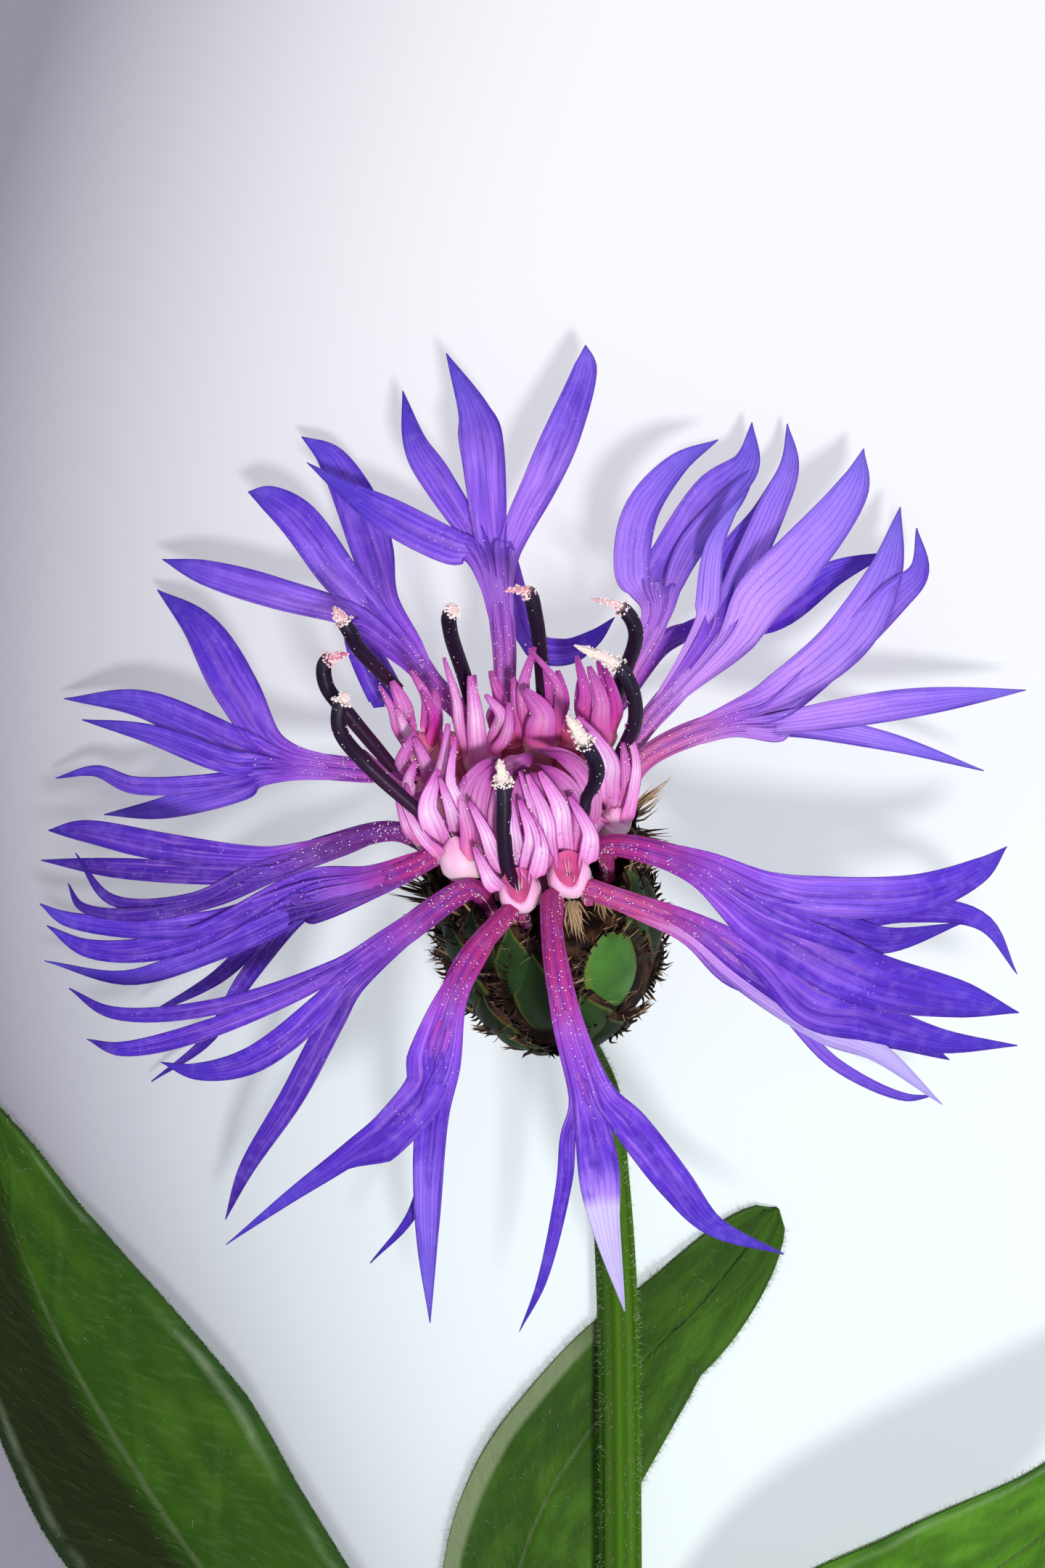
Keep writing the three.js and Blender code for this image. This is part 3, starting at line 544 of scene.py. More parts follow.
def leafFinish(name, woolly, rolled):
    look = Finish(name, Specular_IOR_Level=0.05, Subsurface_Weight=0.06,
                  Subsurface_Radius=(0.0005, 0.0010, 0.0003), Subsurface_Scale=1.0)
    reach, across, tone = look.notes()
    away = abs(across)
    # the tone runs from near-black to green; its low end is partly painted shade
    look.color = look.mix(tone, (0.006, 0.013, 0.003), (0.060, 0.178, 0.010))
    patches = look.noise(1.0, 4.0, place=look.plane(reach * 9.0, across * 3.0))
    look.coat(look.step(patches, 0.42, 0.62) * 0.5, (0.014, 0.040, 0.006))
    look.coat(look.step(patches, 0.52, 0.30) * tone * 0.45, (0.086, 0.205, 0.020))
    weave = look.plane(reach * 95.0 + across * 12.0, across * 9.0 + reach * 20.0)
    wool = look.step(look.noise(1.0, 5.0, place=weave), 0.50, 0.74)
    look.coat(wool * 0.13, (0.17, 0.25, 0.09))
    side = look.maths("SINE", (reach * 40.0 - away * 9.0) + look.noise(160, 2.0) * 2.0)
    veins = look.step(side, 0.80, 1.0) * look.step(away, 0.95, 0.5)
    look.coat(veins * 0.04, (0.12, 0.20, 0.05))
    # partly painted shade, partly a brownish colour: low tones, as on the shaded left half, turn a brownish
    # black
    look.coat(look.step(tone, 0.25, 0.10) * 0.7, (0.013, 0.014, 0.006))
    rib = look.step(away + look.noise(900, 3.0) * 0.03, 0.065, 0.02)
    look.coat(rib * 0.45, (0.13, 0.16, 0.09))
    look.coat(look.step(away, 0.90, 0.96) * woolly * 0.5, (0.012, 0.040, 0.018))
    centre = (look.noise(130, 2.0) - 0.5) * 0.16 + 0.90
    patchy = look.step(look.noise(160, 2.0), 0.38, 0.62) * (0.35 + look.noise(1400, 4.0) * 0.8)
    band = look.step(abs(away - centre), 0.060, 0.0) * patchy
    look.coat(band * woolly * 0.6, (0.36, 0.44, 0.30))
    rolledRim = look.step(across + look.noise(200, 2.0) * 0.06, -0.72, -0.79) * look.step(reach, 0.78, 0.70)
    look.coat(rolledRim * rolled, (0.16, 0.205, 0.11))
    look.coat(look.step(reach, 2.4, 2.6), (0.50, 0.56, 0.44))
    height = wool * 0.5 + veins * 0.4 + look.noise(600, 4.0) * 0.6
    return look.shade(0.55 + wool * 0.2, height, 0.12)


rayLook = {"columns": 12, "rows": 44, "thickness": 0.08, "rootOut": 5.2, "neckOut": 5.4, "neckHeight": 1.6,
           "rootRadius": 0.44, "cup": 0.34, "wave": 0.15, "pleat": 0.025, "ridge": 0.26,
           "grains": 270, "grainsAlong": (0.24, 0.30), "grainsEnd": 1.15, "grainSize": (0.025, 0.06),
           "grainTone": 3.0, "seed": 40,   # where the random draws of the first floret start
           "join": (0.45, 0.90), "lateJoin": (0.62, 0.96),   # where on the tube a lobe's rib starts and parts
           "gather": 0.76, "span": 2.0, "wideSpan": 1.95,   # how wide the lobes may stand in the throat
           "throatReach": 0.95, "frontTurn": 170, "frontFade": 1.4, "backFade": 0.85,
           "widest": 0.4, "squeeze": 0.65, "tailFrom": 0.46, "tailOver": 0.16,   # the two edges of a tail
           "paleFrom": 0.62, "paleOver": 0.16}   # where a lobe's end turns to its second shade

tubeLook = {"columns": 36, "rows": 40, "thickness": 0.12, "ribs": 6, "ribDepth": 0.07, "flatten": 0.55,
            "acrossFrom": 2, "acrossBy": 0.5, "upright": True}

# turn of the root, throat radius, tube points, then lobes from one side of the throat to the other as
# (half width, shade from deep 0 to pale 1, points), with another shade for the end or how far it thins
# to a tail where it has one; a shade below 0 paints a lobe in shade, and the pale shades of the last
# three florets are partly painted light
rayFlorets = [
    (97, 1.0, [(-3.5, 15.5, 11.5), (-3.5, 20.5, 12.5), (-4, 25, 10.5), (-4.5, 28, 9)], [
        (1.25, 0.15, [(-7, 27.5, 9.5), (-11, 29.5, 9), (-13.5, 31, 8), (-17, 33.5, 6)]),
        (1.05, 0.2, [(-8, 32, 8.5), (-9.5, 34.5, 7.5), (-10.5, 38.5, 5)]),
        (1.45, 0.25, [(-5, 34, 9.5), (-5.5, 36.5, 8), (-7.5, 41, 5.5)]),
        (0.9, 0.1, [(-1.5, 21, 9), (0.5, 20.5, 8), (2.5, 21.5, 6.5), (4, 23, 5)]),
        (1.25, 0.4, [(-1, 32, 9.5), (0.5, 35.5, 8.5), (2, 40, 6.5), (2, 41.5, 6)])]),
    (123, 1.1, [(-5.5, 15, 11), (-8.5, 18.5, 11), (-10, 20.5, 10.5), (-13, 23.5, 9.5)], [
        (1.2, 0.0, [(-11.5, 17.5, 9), (-13.5, 20.5, 7)]),
        (1.05, 0.15, [(-19, 24.5, 8), (-24, 26, 6.5), (-27, 27, 4.5)]),
        (1.35, 0.15, [(-14.5, 25.5, 9), (-17.5, 29.5, 8), (-19.5, 31, 7), (-21, 31.5, 6)]),
        (1.5, 0.1, [(-12.5, 27.5, 6.5), (-13.5, 30.5, 5), (-15.5, 34, 4), (-17.5, 35.5, 3.5)])]),
    (150, 1.1, [(-8, 12, 13), (-13, 12.5, 12.5), (-17.5, 13, 12), (-20, 13.5, 11)], [
        (0.95, 0.15, [(-21, 11.5, 10.5), (-26.5, 10, 8), (-31, 9.5, 4.5)]),
        (0.6, 0.05, [(-21, 12, 11), (-28.5, 11.5, 7.5), (-31.5, 12.5, 5), (-34.5, 12, 3)]),
        (0.8, 0.05, [(-21.5, 13, 11.5), (-27.5, 15, 8.5), (-32.5, 16, 4.5)]),
        (1.2, 0.1, [(-21, 14, 11), (-28, 17, 7), (-34, 17.5, 2.5)]),
        (1.5, 0.1, [(-21.5, 18, 9.5), (-24, 22, 7), (-27.5, 25, 3)])]),
    (178, 0.9, [(-10.5, 8.5, 16), (-15, 7.5, 16.5), (-17.5, 6.5, 16.5), (-21, 6, 16)], [
        (0.45, -0.6, [(-22.5, 4, 15.5), (-27.5, 3, 14.5), (-31.5, 3.5, 13), (-32.5, 5, 12)]),
        (0.7, -0.45, [(-28, 6, 14), (-34.5, 6.5, 10.5)]),
        (0.45, -0.6, [(-24, 4, 15.5), (-29.5, 4, 13.5), (-32, 7, 12)]),
        (0.9, -0.3, [(-26, 7.5, 14.5), (-31.5, 8.5, 12), (-34, 8.5, 10.5)])]),
    (203, 1.0, [(-7, 7.2, 17.6), (-10, 6, 17), (-14.5, 4.5, 14.5), (-17.5, 4, 13.5)], [
        (0.6, -0.45, [(-17, 3, 11.5), (-21, -1.5, 7), (-24, -6, 4), (-28, -9, 2)]),
        (0.6, -0.45, [(-18.5, 2.5, 11.5), (-23, -1.5, 7.5), (-28.5, -4.5, 4)]),
        (0.8, 0.15, [(-17.5, 3, 12.5), (-23, 0.5, 10), (-29, -1.5, 7.5), (-35, -0.5, 5)]),
        (0.8, 0.0, [(-22.5, 2.5, 11.5), (-26.5, 2, 10.5), (-33, 2.5, 8.5), (-35, 3.5, 7.5)]),
        (0.8, -0.1, [(-25, 1, 10.5), (-31.5, 0.5, 8.5), (-34.5, 2, 7.5)])]),
    (228, 1.1, [(-5.8, 4.8, 19), (-10, 2, 19), (-14.5, -1.5, 17.5)], [
        (0.82, -0.35, [(-14.5, -3.5, 16.5), (-17.5, -9, 13), (-21, -14.5, 8.5), (-22.5, -18, 6.5)]),
        (0.9, -0.1, [(-15.5, -3, 17), (-20, -6.5, 14.5), (-24, -7.5, 12), (-26.5, -7, 10.5)]),
        (0.6, -0.1, [(-23, -4.5, 15), (-29, -6, 12), (-31.5, -5.5, 10)]),
        (0.5, -0.25, [(-22.5, -3, 15.5), (-29.5, -3.5, 13), (-32.5, -2, 11.5)])]),
    (253, 1.2, [(-3.5, 3, 20.5), (-6, 0, 23), (-7.5, -4.5, 23), (-8, -6.5, 22)], [
        (1.0, 0.0, [(-8, -9.5, 21), (-8.5, -17, 16.5), (-8.5, -24.5, 10)], {"endTone": 0.6}),
        (0.4, -0.1, [(-8, -11, 19.5), (-9.5, -16.5, 15), (-12.5, -20.5, 10)]),
        (1.7, -0.1, [(-8.5, -7.5, 22), (-11, -10.5, 20.5), (-13.5, -12.5, 19), (-17.5, -15.5, 15.5),
                     (-22, -19, 12)], {"tail": 0.62})]),
    (279, 1.3, [(-0.5, 4, 20.5), (0, -1, 24.5), (1.5, -6.5, 24), (2.5, -9.5, 22.5)], [
        (1.15, 0.0, [(4.5, -10, 22.5), (7.5, -14, 20), (10, -17, 17.5), (15, -19.5, 13)]),
        (1.3, 0.1, [(2.5, -12.5, 20.5), (3, -16.5, 17.5), (4.5, -23.5, 11.5)], {"endTone": 1.5}),
        (0.5, 0.0, [(0.6, -10.8, 22.2), (0.4, -13.8, 20), (-1, -21, 14.5), (-2.5, -25, 10.5)])]),
    (304, 1.1, [(2, 4.9, 18.8), (6.5, 3.2, 19.6), (11, 1, 19), (12.5, -1, 18)], [
        (1.35, 0.0, [(16.5, -3, 16), (20.5, -4, 14), (25.5, -5.5, 11.5), (31, -6, 9)]),
        (1.0, -0.2, [(18.5, -4, 13.5), (23.5, -5.5, 10.5), (26.5, -7, 8.5)]),
        (0.9, 1.3, [(17.5, -4.5, 14.5), (21, -6, 12.5), (26, -10, 8.5)]),
        (0.4, 0.3, [(14, -2.5, 16.5), (18.5, -7, 12), (23.5, -9.5, 8.5), (25.5, -9.5, 7.5)])]),
    (330, 1.3, [(2.8, 7.6, 18.5), (5, 7.5, 20.5), (9.5, 6, 22), (13.5, 3.5, 22)], [
        (1.3, 0.15, [(16.5, 4.5, 21.5), (23, 4.5, 19), (27.5, 6, 16.5), (29.5, 7.5, 15)]),
        (0.9, 0.0, [(17, 3, 20.5), (22.5, 3.5, 17.5), (28, 2.5, 14.5), (30.5, -1, 12.5)]),
        (1.15, -0.1, [(17, 2.5, 20.5), (21, 1.5, 18.5), (26.5, 2.5, 15.5)]),
        (1.9, -0.15, [(16, 1, 20.5), (20, -1, 18.5), (26.5, -2.5, 15.5), (30.5, -3.5, 13.5)])]),
    (355, 1.0, [(5.5, 13, 14), (10.5, 15.5, 14), (15, 16.5, 12.5)], [
        (1.6, 0.7, [(19, 21, 11.5), (22, 25.5, 9), (23.5, 30.5, 5.5)]),
        (1.1, 0.5, [(18.5, 20, 11), (22.5, 24, 9.5), (24.5, 26, 8), (24.5, 29, 6.5)]),
        (1.0, 0.75, [(23.5, 17, 9.5), (32, 18, 6)]),
        (0.8, 0.9, [(15, 15.5, 12), (22, 14.5, 9.5), (29, 12.5, 7)])]),
    (20, 1.1, [(5.5, 15, 12.5), (8, 18, 12.5), (11.5, 22.5, 11.5)], [
        (0.8, 0.95, [(10, 23.5, 12), (10.5, 27.5, 12), (12.5, 31, 10.5)]),
        (0.9, 0.05, [(11.5, 26.5, 9), (14, 30, 5.5), (15.5, 33.5, 3)]),
        (1.0, 0.75, [(11.5, 23.5, 11), (14.5, 30, 7), (16, 33.5, 4.5), (16, 36.5, 2.5)]),
        (1.8, 1.0, [(13.5, 24, 11.5), (16, 26.5, 10), (20, 31.5, 7.5), (21, 34.5, 5.5)])]),
    (46, 1.1, [(4.2, 18, 13), (6.5, 22.5, 12.5), (6.5, 25, 11.5)], [
        (1.2, 0.6, [(5, 25.5, 12), (5.5, 29.5, 11), (8, 33, 9), (11, 35, 6.5)]),
        (1.5, 0.4, [(7, 25.5, 11), (10.5, 31, 7.5), (13, 33.5, 5), (13.5, 36.5, 3.5)]),
        (0.9, 0.5, [(9, 27.5, 9.5), (12, 31, 7), (13.8, 33.6, 4.5)])]),
    (71, 0.9, [(4, 17, 8.5), (7, 21, 8), (10.5, 22.5, 7.5)], [
        (1.1, 0.0, [(14.5, 23, 7), (19, 26, 5.5), (23, 27.5, 4.5)])]),
]


def lobeShape(along):
    widest = rayLook["widest"]
    if along < widest:
        return 0.66 + 0.34 * math.sin(along / widest * math.pi / 2)
    return max(1 - ((along - widest) / (1 - widest)) ** 1.8, 0.0) ** 1.1


def tubePath(turn, points):
    root = headPoint(turn, rayLook["rootOut"], receptacleTop)
    return Path([root, headPoint(turn, rayLook["neckOut"], rayLook["neckHeight"])] + points)


def tubeRadius(throat, along):
    radii = [rayLook["rootRadius"] + extra for extra in (0, 0.05, 0.14, 0.24, 0.36)]
    return valueAlong(radii + [throat * 0.75, throat * 0.4], along)


# how far the colour has turned from the magenta root to the throat, slower on the front florets
def tubeReach(turn, share):
    fade = rayLook["frontFade"] if turn > rayLook["frontTurn"] else rayLook["backFade"]
    return rayLook["throatReach"] * share ** fade


# where each lobe leaves the throat, side by side across the funnel
def rootSpots(lobes):
    widths = [2 * lobeShape(0) * lobe[0] for lobe in lobes]
    total = sum(widths)
    span = min(total / 2 * rayLook["gather"], rayLook["span"])
    spots, used = [], 0
    for width in widths:
        spots.append(((used + width / 2) / total * 2 - 1) * span)
        used += width
    return spots, span


# every lobe starts as a rib on the tube, the ribs spread into a funnel and part at the throat
def rayLobe(name, turn, tube, throat, lobe, aside, span, draw):
    halfWidth, tone, points, *extra = lobe
    extra = extra[0] if extra else {}
    tail, endTone = extra.get("tail", 0), extra.get("endTone", tone)
    late = len(tube.points) < 6 or span > rayLook["wideSpan"]
    joinFrom, joinTo = rayLook["lateJoin" if late else "join"]
    path = []
    for share, spread, height in ((joinFrom, 0.0, 0.35), ((joinFrom + joinTo) / 2, 0.24, 0.70),
                                  (joinTo, 0.88, 0.50)):
        side = tube.heading(share).cross(upward).normalized()
        up = side.cross(tube.heading(share))
        radius = tubeRadius(throat, share)
        far = aside / span * radius * 0.8 * (1 - spread) + aside * spread
        rise = radius * height * max(1 - 0.6 * (far / (radius + span * spread)) ** 2, 0)
        path.append(tube.point(share) + side * far + up * rise)
    path += [Vector(point) for point in points]
    parting = 2 / (len(path) - 1)
    phase, speed, curl = draw.uniform(0, math.tau), draw.uniform(7.0, 13.0), draw.uniform(0.6, 1.4)

    def widthAt(along, column=0):
        if along < parting:
            share, start = along / parting, rayLook["ridge"]
            return start * (0.3 + 0.7 * min(share * 4, 1)) + (halfWidth * lobeShape(0) - start) * share ** 1.7
        share = (along - parting) / (1 - parting)
        if column > 0:
            thin = progress(share, 0, rayLook["widest"]) * rayLook["squeeze"]
        else:
            thin = progress(share, rayLook["tailFrom"], rayLook["tailOver"])
        return halfWidth * lobeShape(share) * (1 - tail * thin) + 0.02

    def liftAt(along, column):
        width, free = widthAt(along), progress(along, 0, parting)
        ribbed = -0.30 * width * column * column * (1 - free)
        trough = rayLook["cup"] * curl * width * (abs(column) ** 1.7 - 0.35) * free ** 2
        ripple = rayLook["wave"] * width * math.sin(speed * along + phase + column) * column * free
        pleat = rayLook["pleat"] * math.cos(column * math.pi * 3) * min(width, 1)
        return ribbed + trough + ripple - pleat

    def reachAt(along):
        if along < parting:
            return tubeReach(turn, joinFrom + (1 - joinFrom) * along / parting)
        throatReach = rayLook["throatReach"]
        return throatReach + (2 - throatReach) * (along - parting) / (1 - parting)

    def toneAt(along, column):
        return tone + (endTone - tone) * progress(along, rayLook["paleFrom"], rayLook["paleOver"])

    return bladePiece(name, path, {**rayLook, "halfWidthAt": widthAt, "liftAt": liftAt, "toneAt": toneAt,
                                   "reachAt": reachAt})


def rayTube(name, turn, tube, throat, tone):
    def radiusAt(along, angle):
        return tubeRadius(throat, along) * ribbed(tubeLook["ribDepth"], tubeLook["ribs"], angle)

    return sleevePiece(name, tube.points, {
        **tubeLook, "tone": tone, "radiusAt": radiusAt, "reachAt": lambda along: tubeReach(turn, along),
        "flatAt": lambda along: 1 - tubeLook["flatten"] * along})


def rayParts(name, turn, throat, tubePoints, lobes, draw):
    tube = tubePath(turn, tubePoints)
    side = tube.heading(1.0).cross(upward).normalized()
    # the tube takes the mean of its lobes' tones, their painted light and shade included
    parts = [rayTube(name, turn, tube, throat, sum(lobe[1] for lobe in lobes) / len(lobes))]
    spots, span = rootSpots(lobes)
    for place, (lobe, aside) in enumerate(zip(lobes, spots)):
        parts.append(rayLobe(f"{name}lobe{place}", turn, tube, throat, lobe, aside, span, draw))
    grains = []
    for _ in range(rayLook["grains"]):
        along = abs(draw.gauss(*rayLook["grainsAlong"]))
        if along < rayLook["grainsEnd"]:
            place = tube.point(along) + tube.heading(along) * max(along - 1, 0) * 12
            aside = draw.uniform(-1, 1)
            width = 0.5 + 0.35 * along
            place = place + side * aside * width + upward * width * (1 - aside * aside) ** 0.5
            grains.append((place, draw.uniform(*rayLook["grainSize"]), rayLook["grainTone"]))
    parts.append(grainsPiece(name + "pollen", grains))
    return parts


def makeRayFlorets():
    material = petalFinish()
    for index, (turn, throat, tube, lobes) in enumerate(rayFlorets):
        draw = random.Random(rayLook["seed"] + index)
        name = f"rayFloret{index + 1:02d}"
        whole = joinPieces(name, rayParts(name, turn, throat, tube, lobes, draw))
        finishPiece(whole, material, [f"ray_floret_{index + 1:02d}"])
    print("ray florets made")


discLook = {"columns": 8, "rows": 24, "thickness": 0.12, "curl": 0.45, "filaments": 5, "grains": 520,
            "seed": 31, "open": 2}   # the first florets of the table stand open towards the front

# each floret: turn and radius of its root, middle and radius of its belly, shade of the belly from
# pale 0 to dark 1, then lobes as (half width, shade, base, middle, tip)
discFlorets = [
    (262, 3.0, (-2.5, 4.6, 18.9), 1.4, 0.0, [
        (0.6, 0.15, (-3.9, 4.4, 19.4), (-4.6, 5.9, 20.4), (-5.4, 7.6, 20.9)),
        (0.55, 0.05, (-3.6, 6.0, 19.6), (-4.7, 8.6, 20.7), (-5.7, 10.5, 21.2)),
        (0.68, 0.0, (-2.8, 6.4, 19.8), (-2.9, 8.5, 21.0), (-3.1, 10.8, 21.6)),
        (0.66, 0.0, (-2.0, 6.3, 19.8), (-1.7, 8.4, 20.9), (-2.5, 10.6, 21.4)),
        (0.6, 0.1, (-1.3, 5.6, 19.6), (-1.1, 7.7, 20.6), (-1.9, 9.9, 21.2))]),
    (300, 3.0, (0.7, 5.6, 18.4), 1.45, 0.0, [
        (0.68, 0.0, (-0.3, 6.6, 19.3), (-0.8, 9.4, 20.5), (-2.0, 12.2, 21.0)),
        (0.78, 0.0, (0.3, 7.4, 19.2), (0.1, 10.1, 20.5), (-1.2, 12.4, 21.1)),
        (0.66, 0.1, (1.8, 6.4, 19.2), (2.0, 8.5, 20.1), (0.7, 10.8, 20.8)),
        (0.42, 0.0, (-0.9, 6.4, 19.2), (-1.5, 9.4, 20.5), (-2.5, 12.4, 21.2)),
        (0.5, 0.7, (1.2, 7.4, 18.8), (1.3, 9.2, 19.8), (0.9, 11.0, 20.2))]),
    (340, 3.2, (3.7, 9.1, 15.8), 1.15, 0.0, [
        (1.1, 0.0, (3.5, 10.1, 16.4), (3.1, 13.1, 18.2), (1.2, 15.9, 19.0)),
        (0.4, 0.2, (4.4, 10.3, 16.2), (5.1, 13.0, 17.4), (4.4, 15.5, 18.0)),
        (0.35, 0.2, (2.9, 9.6, 16.4), (2.2, 8.3, 17.6), (1.7, 6.3, 18.0)),
        (0.45, 0.7, (4.0, 10.4, 16.0), (4.4, 12.4, 17.2), (4.2, 14.3, 17.8))]),
    (25, 3.2, (2.8, 14.9, 14.6), 1.15, 0.8, [
        (0.5, 0.9, (2.0, 15.2, 15.2), (1.8, 17.4, 17.0), (1.2, 19.9, 18.2)),
        (0.62, 0.75, (2.8, 15.0, 15.6), (2.8, 17.0, 17.4), (2.0, 19.2, 18.4)),
        (0.45, 0.95, (3.6, 15.2, 15.0), (3.7, 17.2, 16.8), (3.1, 19.1, 18.0)),
        (0.5, 1.0, (3.1, 15.4, 14.6), (3.3, 17.4, 16.2), (2.6, 19.6, 17.4))]),
    (72, 3.2, (-1.1, 14.4, 14.6), 1.25, 0.7, [
        (1.0, 0.7, (-1.0, 14.7, 15.4), (-1.0, 16.1, 17.0), (-2.2, 17.7, 17.9)),
        (0.32, 0.8, (0.0, 14.9, 14.8), (0.0, 18.0, 16.8), (-1.9, 20.4, 18.0)),
        (0.45, 0.7, (-1.9, 14.9, 14.8), (-2.2, 18.2, 16.4), (-1.5, 20.5, 17.6)),
        (0.4, 0.9, (-0.4, 15.2, 14.6), (-0.5, 17.3, 16.0), (-0.9, 19.4, 17.0))]),
    (108, 3.0, (-5.0, 13.3, 14.8), 1.3, 0.6, [
        (0.62, 0.35, (-5.1, 14.4, 16.0), (-5.4, 16.4, 17.4), (-5.7, 18.6, 18.2)),
        (0.5, 0.35, (-4.0, 14.2, 15.8), (-3.7, 16.1, 17.0), (-4.7, 17.4, 17.6)),
        (0.36, 0.4, (-5.9, 14.5, 15.4), (-6.6, 17.0, 16.8), (-7.4, 19.8, 17.6)),
        (0.4, 0.6, (-3.3, 13.7, 15.6), (-3.2, 15.4, 16.8), (-3.2, 16.9, 17.4)),
        (0.4, 0.9, (-5.6, 14.7, 15.0), (-5.6, 16.8, 16.2), (-5.4, 18.7, 17.0))]),
    (140, 3.2, (-9.0, 14.0, 14.4), 1.2, 0.7, [
        (0.7, 0.65, (-9.3, 14.8, 15.2), (-10.1, 16.7, 16.6), (-10.8, 18.3, 17.2)),
        (0.42, 0.8, (-8.1, 15.0, 15.2), (-8.6, 17.3, 16.4), (-9.6, 19.0, 17.0)),
        (0.32, 0.7, (-10.1, 14.7, 15.0), (-10.8, 16.4, 16.4), (-11.6, 18.0, 17.0)),
        (0.4, 0.3, (-9.8, 14.4, 15.8), (-10.1, 15.5, 16.4), (-10.5, 16.6, 16.8)),
        (0.4, 1.0, (-7.7, 14.7, 15.4), (-8.1, 16.1, 16.4), (-8.9, 17.7, 16.8))]),
    (175, 3.2, (-9.1, 11.0, 15.8), 1.15, 0.4, [
        (0.52, 0.65, (-9.9, 11.7, 16.6), (-10.1, 13.2, 17.8), (-9.2, 15.0, 18.6)),
        (0.5, 0.5, (-8.3, 11.7, 16.8), (-8.7, 13.2, 18.0), (-9.3, 14.6, 18.8)),
        (0.46, 0.3, (-9.4, 10.9, 17.2), (-9.7, 11.7, 18.2), (-9.2, 13.1, 19.0)),
        (0.5, 0.4, (-7.7, 11.4, 17.0), (-7.4, 13.0, 18.2), (-7.1, 15.5, 18.8)),
        (0.42, 0.5, (-9.9, 10.7, 16.2), (-11.1, 12.0, 16.8), (-12.7, 13.8, 17.0))]),
    (215, 3.1, (-6.3, 6.8, 18.0), 1.5, 0.0, [
        (0.85, 0.0, (-7.7, 8.1, 18.0), (-8.4, 10.2, 19.4), (-7.7, 12.5, 20.2)),
        (0.5, 0.0, (-7.0, 8.3, 18.4), (-7.0, 10.2, 19.8), (-7.6, 12.0, 20.6)),
        (0.48, 0.0, (-6.4, 8.5, 18.2), (-6.9, 11.6, 19.6), (-6.6, 14.6, 20.2)),
        (0.4, 0.2, (-8.1, 7.6, 17.4), (-9.3, 9.0, 18.2), (-10.3, 11.1, 18.6)),
        (0.45, 0.6, (-5.8, 8.3, 18.0), (-6.2, 10.2, 19.2), (-6.0, 12.1, 19.8))]),
    (195, 3.3, (-8.5, 8.3, 16.2), 1.1, 0.3, [
        (0.4, 0.65, (-9.0, 8.5, 17.0), (-9.4, 10.0, 18.0), (-9.8, 11.6, 18.6)),
        (0.4, 0.9, (-8.4, 8.8, 17.2), (-8.7, 10.0, 18.0), (-9.0, 11.2, 18.6)),
        (0.36, 0.5, (-9.3, 7.8, 16.8), (-10.0, 9.3, 17.6), (-10.5, 11.0, 18.0))]),
    (50, 3.0, (0.9, 14.6, 13.6), 1.3, 0.9, [
        (0.6, 0.9, (0.4, 15.0, 14.2), (0.3, 17.0, 15.4), (0.0, 19.0, 16.2)),
        (0.5, 0.8, (1.5, 15.0, 14.2), (1.5, 16.6, 15.4), (1.4, 18.4, 16.2))]),
    (90, 3.2, (-3.2, 14.6, 13.2), 1.3, 0.9, [
        (0.55, 0.9, (-3.6, 15.0, 14.0), (-3.8, 16.9, 15.2), (-4.4, 19.0, 15.8)),
        (0.55, 0.75, (-2.4, 15.0, 14.0), (-2.6, 16.8, 15.2), (-2.9, 18.6, 15.8))]),
    (125, 3.2, (-7.0, 13.8, 13.6), 1.35, 0.85, [
        (0.6, 0.8, (-7.6, 14.6, 14.6), (-8.0, 16.0, 15.6), (-8.0, 17.8, 16.2)),
        (0.6, 0.9, (-6.4, 14.6, 14.6), (-6.5, 16.2, 15.6), (-6.8, 18.2, 16.2))]),
]

# unopened florets bending over the middle: their points above the foot
discBuds = [
    [(-5.6, 8.3, 17.4), (-6.0, 10.9, 18.8), (-4.9, 12.7, 19.8), (-3.7, 13.4, 20.0)],
    [(-4.9, 7.8, 17.4), (-5.1, 10.4, 18.9), (-4.5, 12.3, 19.8), (-3.5, 13.0, 20.2)],
    [(2.0, 9.2, 17.0), (2.0, 11.4, 18.4), (0.7, 13.1, 19.2), (-1.2, 13.7, 19.6)],
    [(2.2, 10.7, 16.2), (1.5, 12.4, 18.0), (0.0, 13.6, 18.8), (-1.6, 13.8, 19.2)],
    [(1.0, 9.7, 17.2), (0.8, 11.1, 18.6), (-0.3, 12.3, 19.4), (-1.5, 12.9, 19.8)],
    [(-3.3, 12.6, 15.2), (-2.7, 12.8, 17.2), (-2.0, 13.2, 18.4), (-1.6, 13.5, 19.0)],
    [(-0.8, 10.7, 17.2), (-1.0, 11.4, 18.4), (-1.6, 12.0, 19.2), (-1.9, 12.4, 19.6)],
    [(-3.9, 8.0, 17.6), (-3.9, 10.2, 19.2), (-3.4, 11.9, 19.9), (-2.8, 12.7, 20.1)],
    [(-2.6, 8.0, 17.8), (-2.6, 10.0, 19.2), (-2.4, 11.7, 19.8), (-2.3, 12.6, 20.0)],
]


bellLook = {"columns": 24, "rows": 28, "ribs": 5, "ribDepth": 0.035, "notchFrom": 0.78}
throatLook = {"columns": 30, "rows": 8, "ribs": 10, "tone": 0.75}


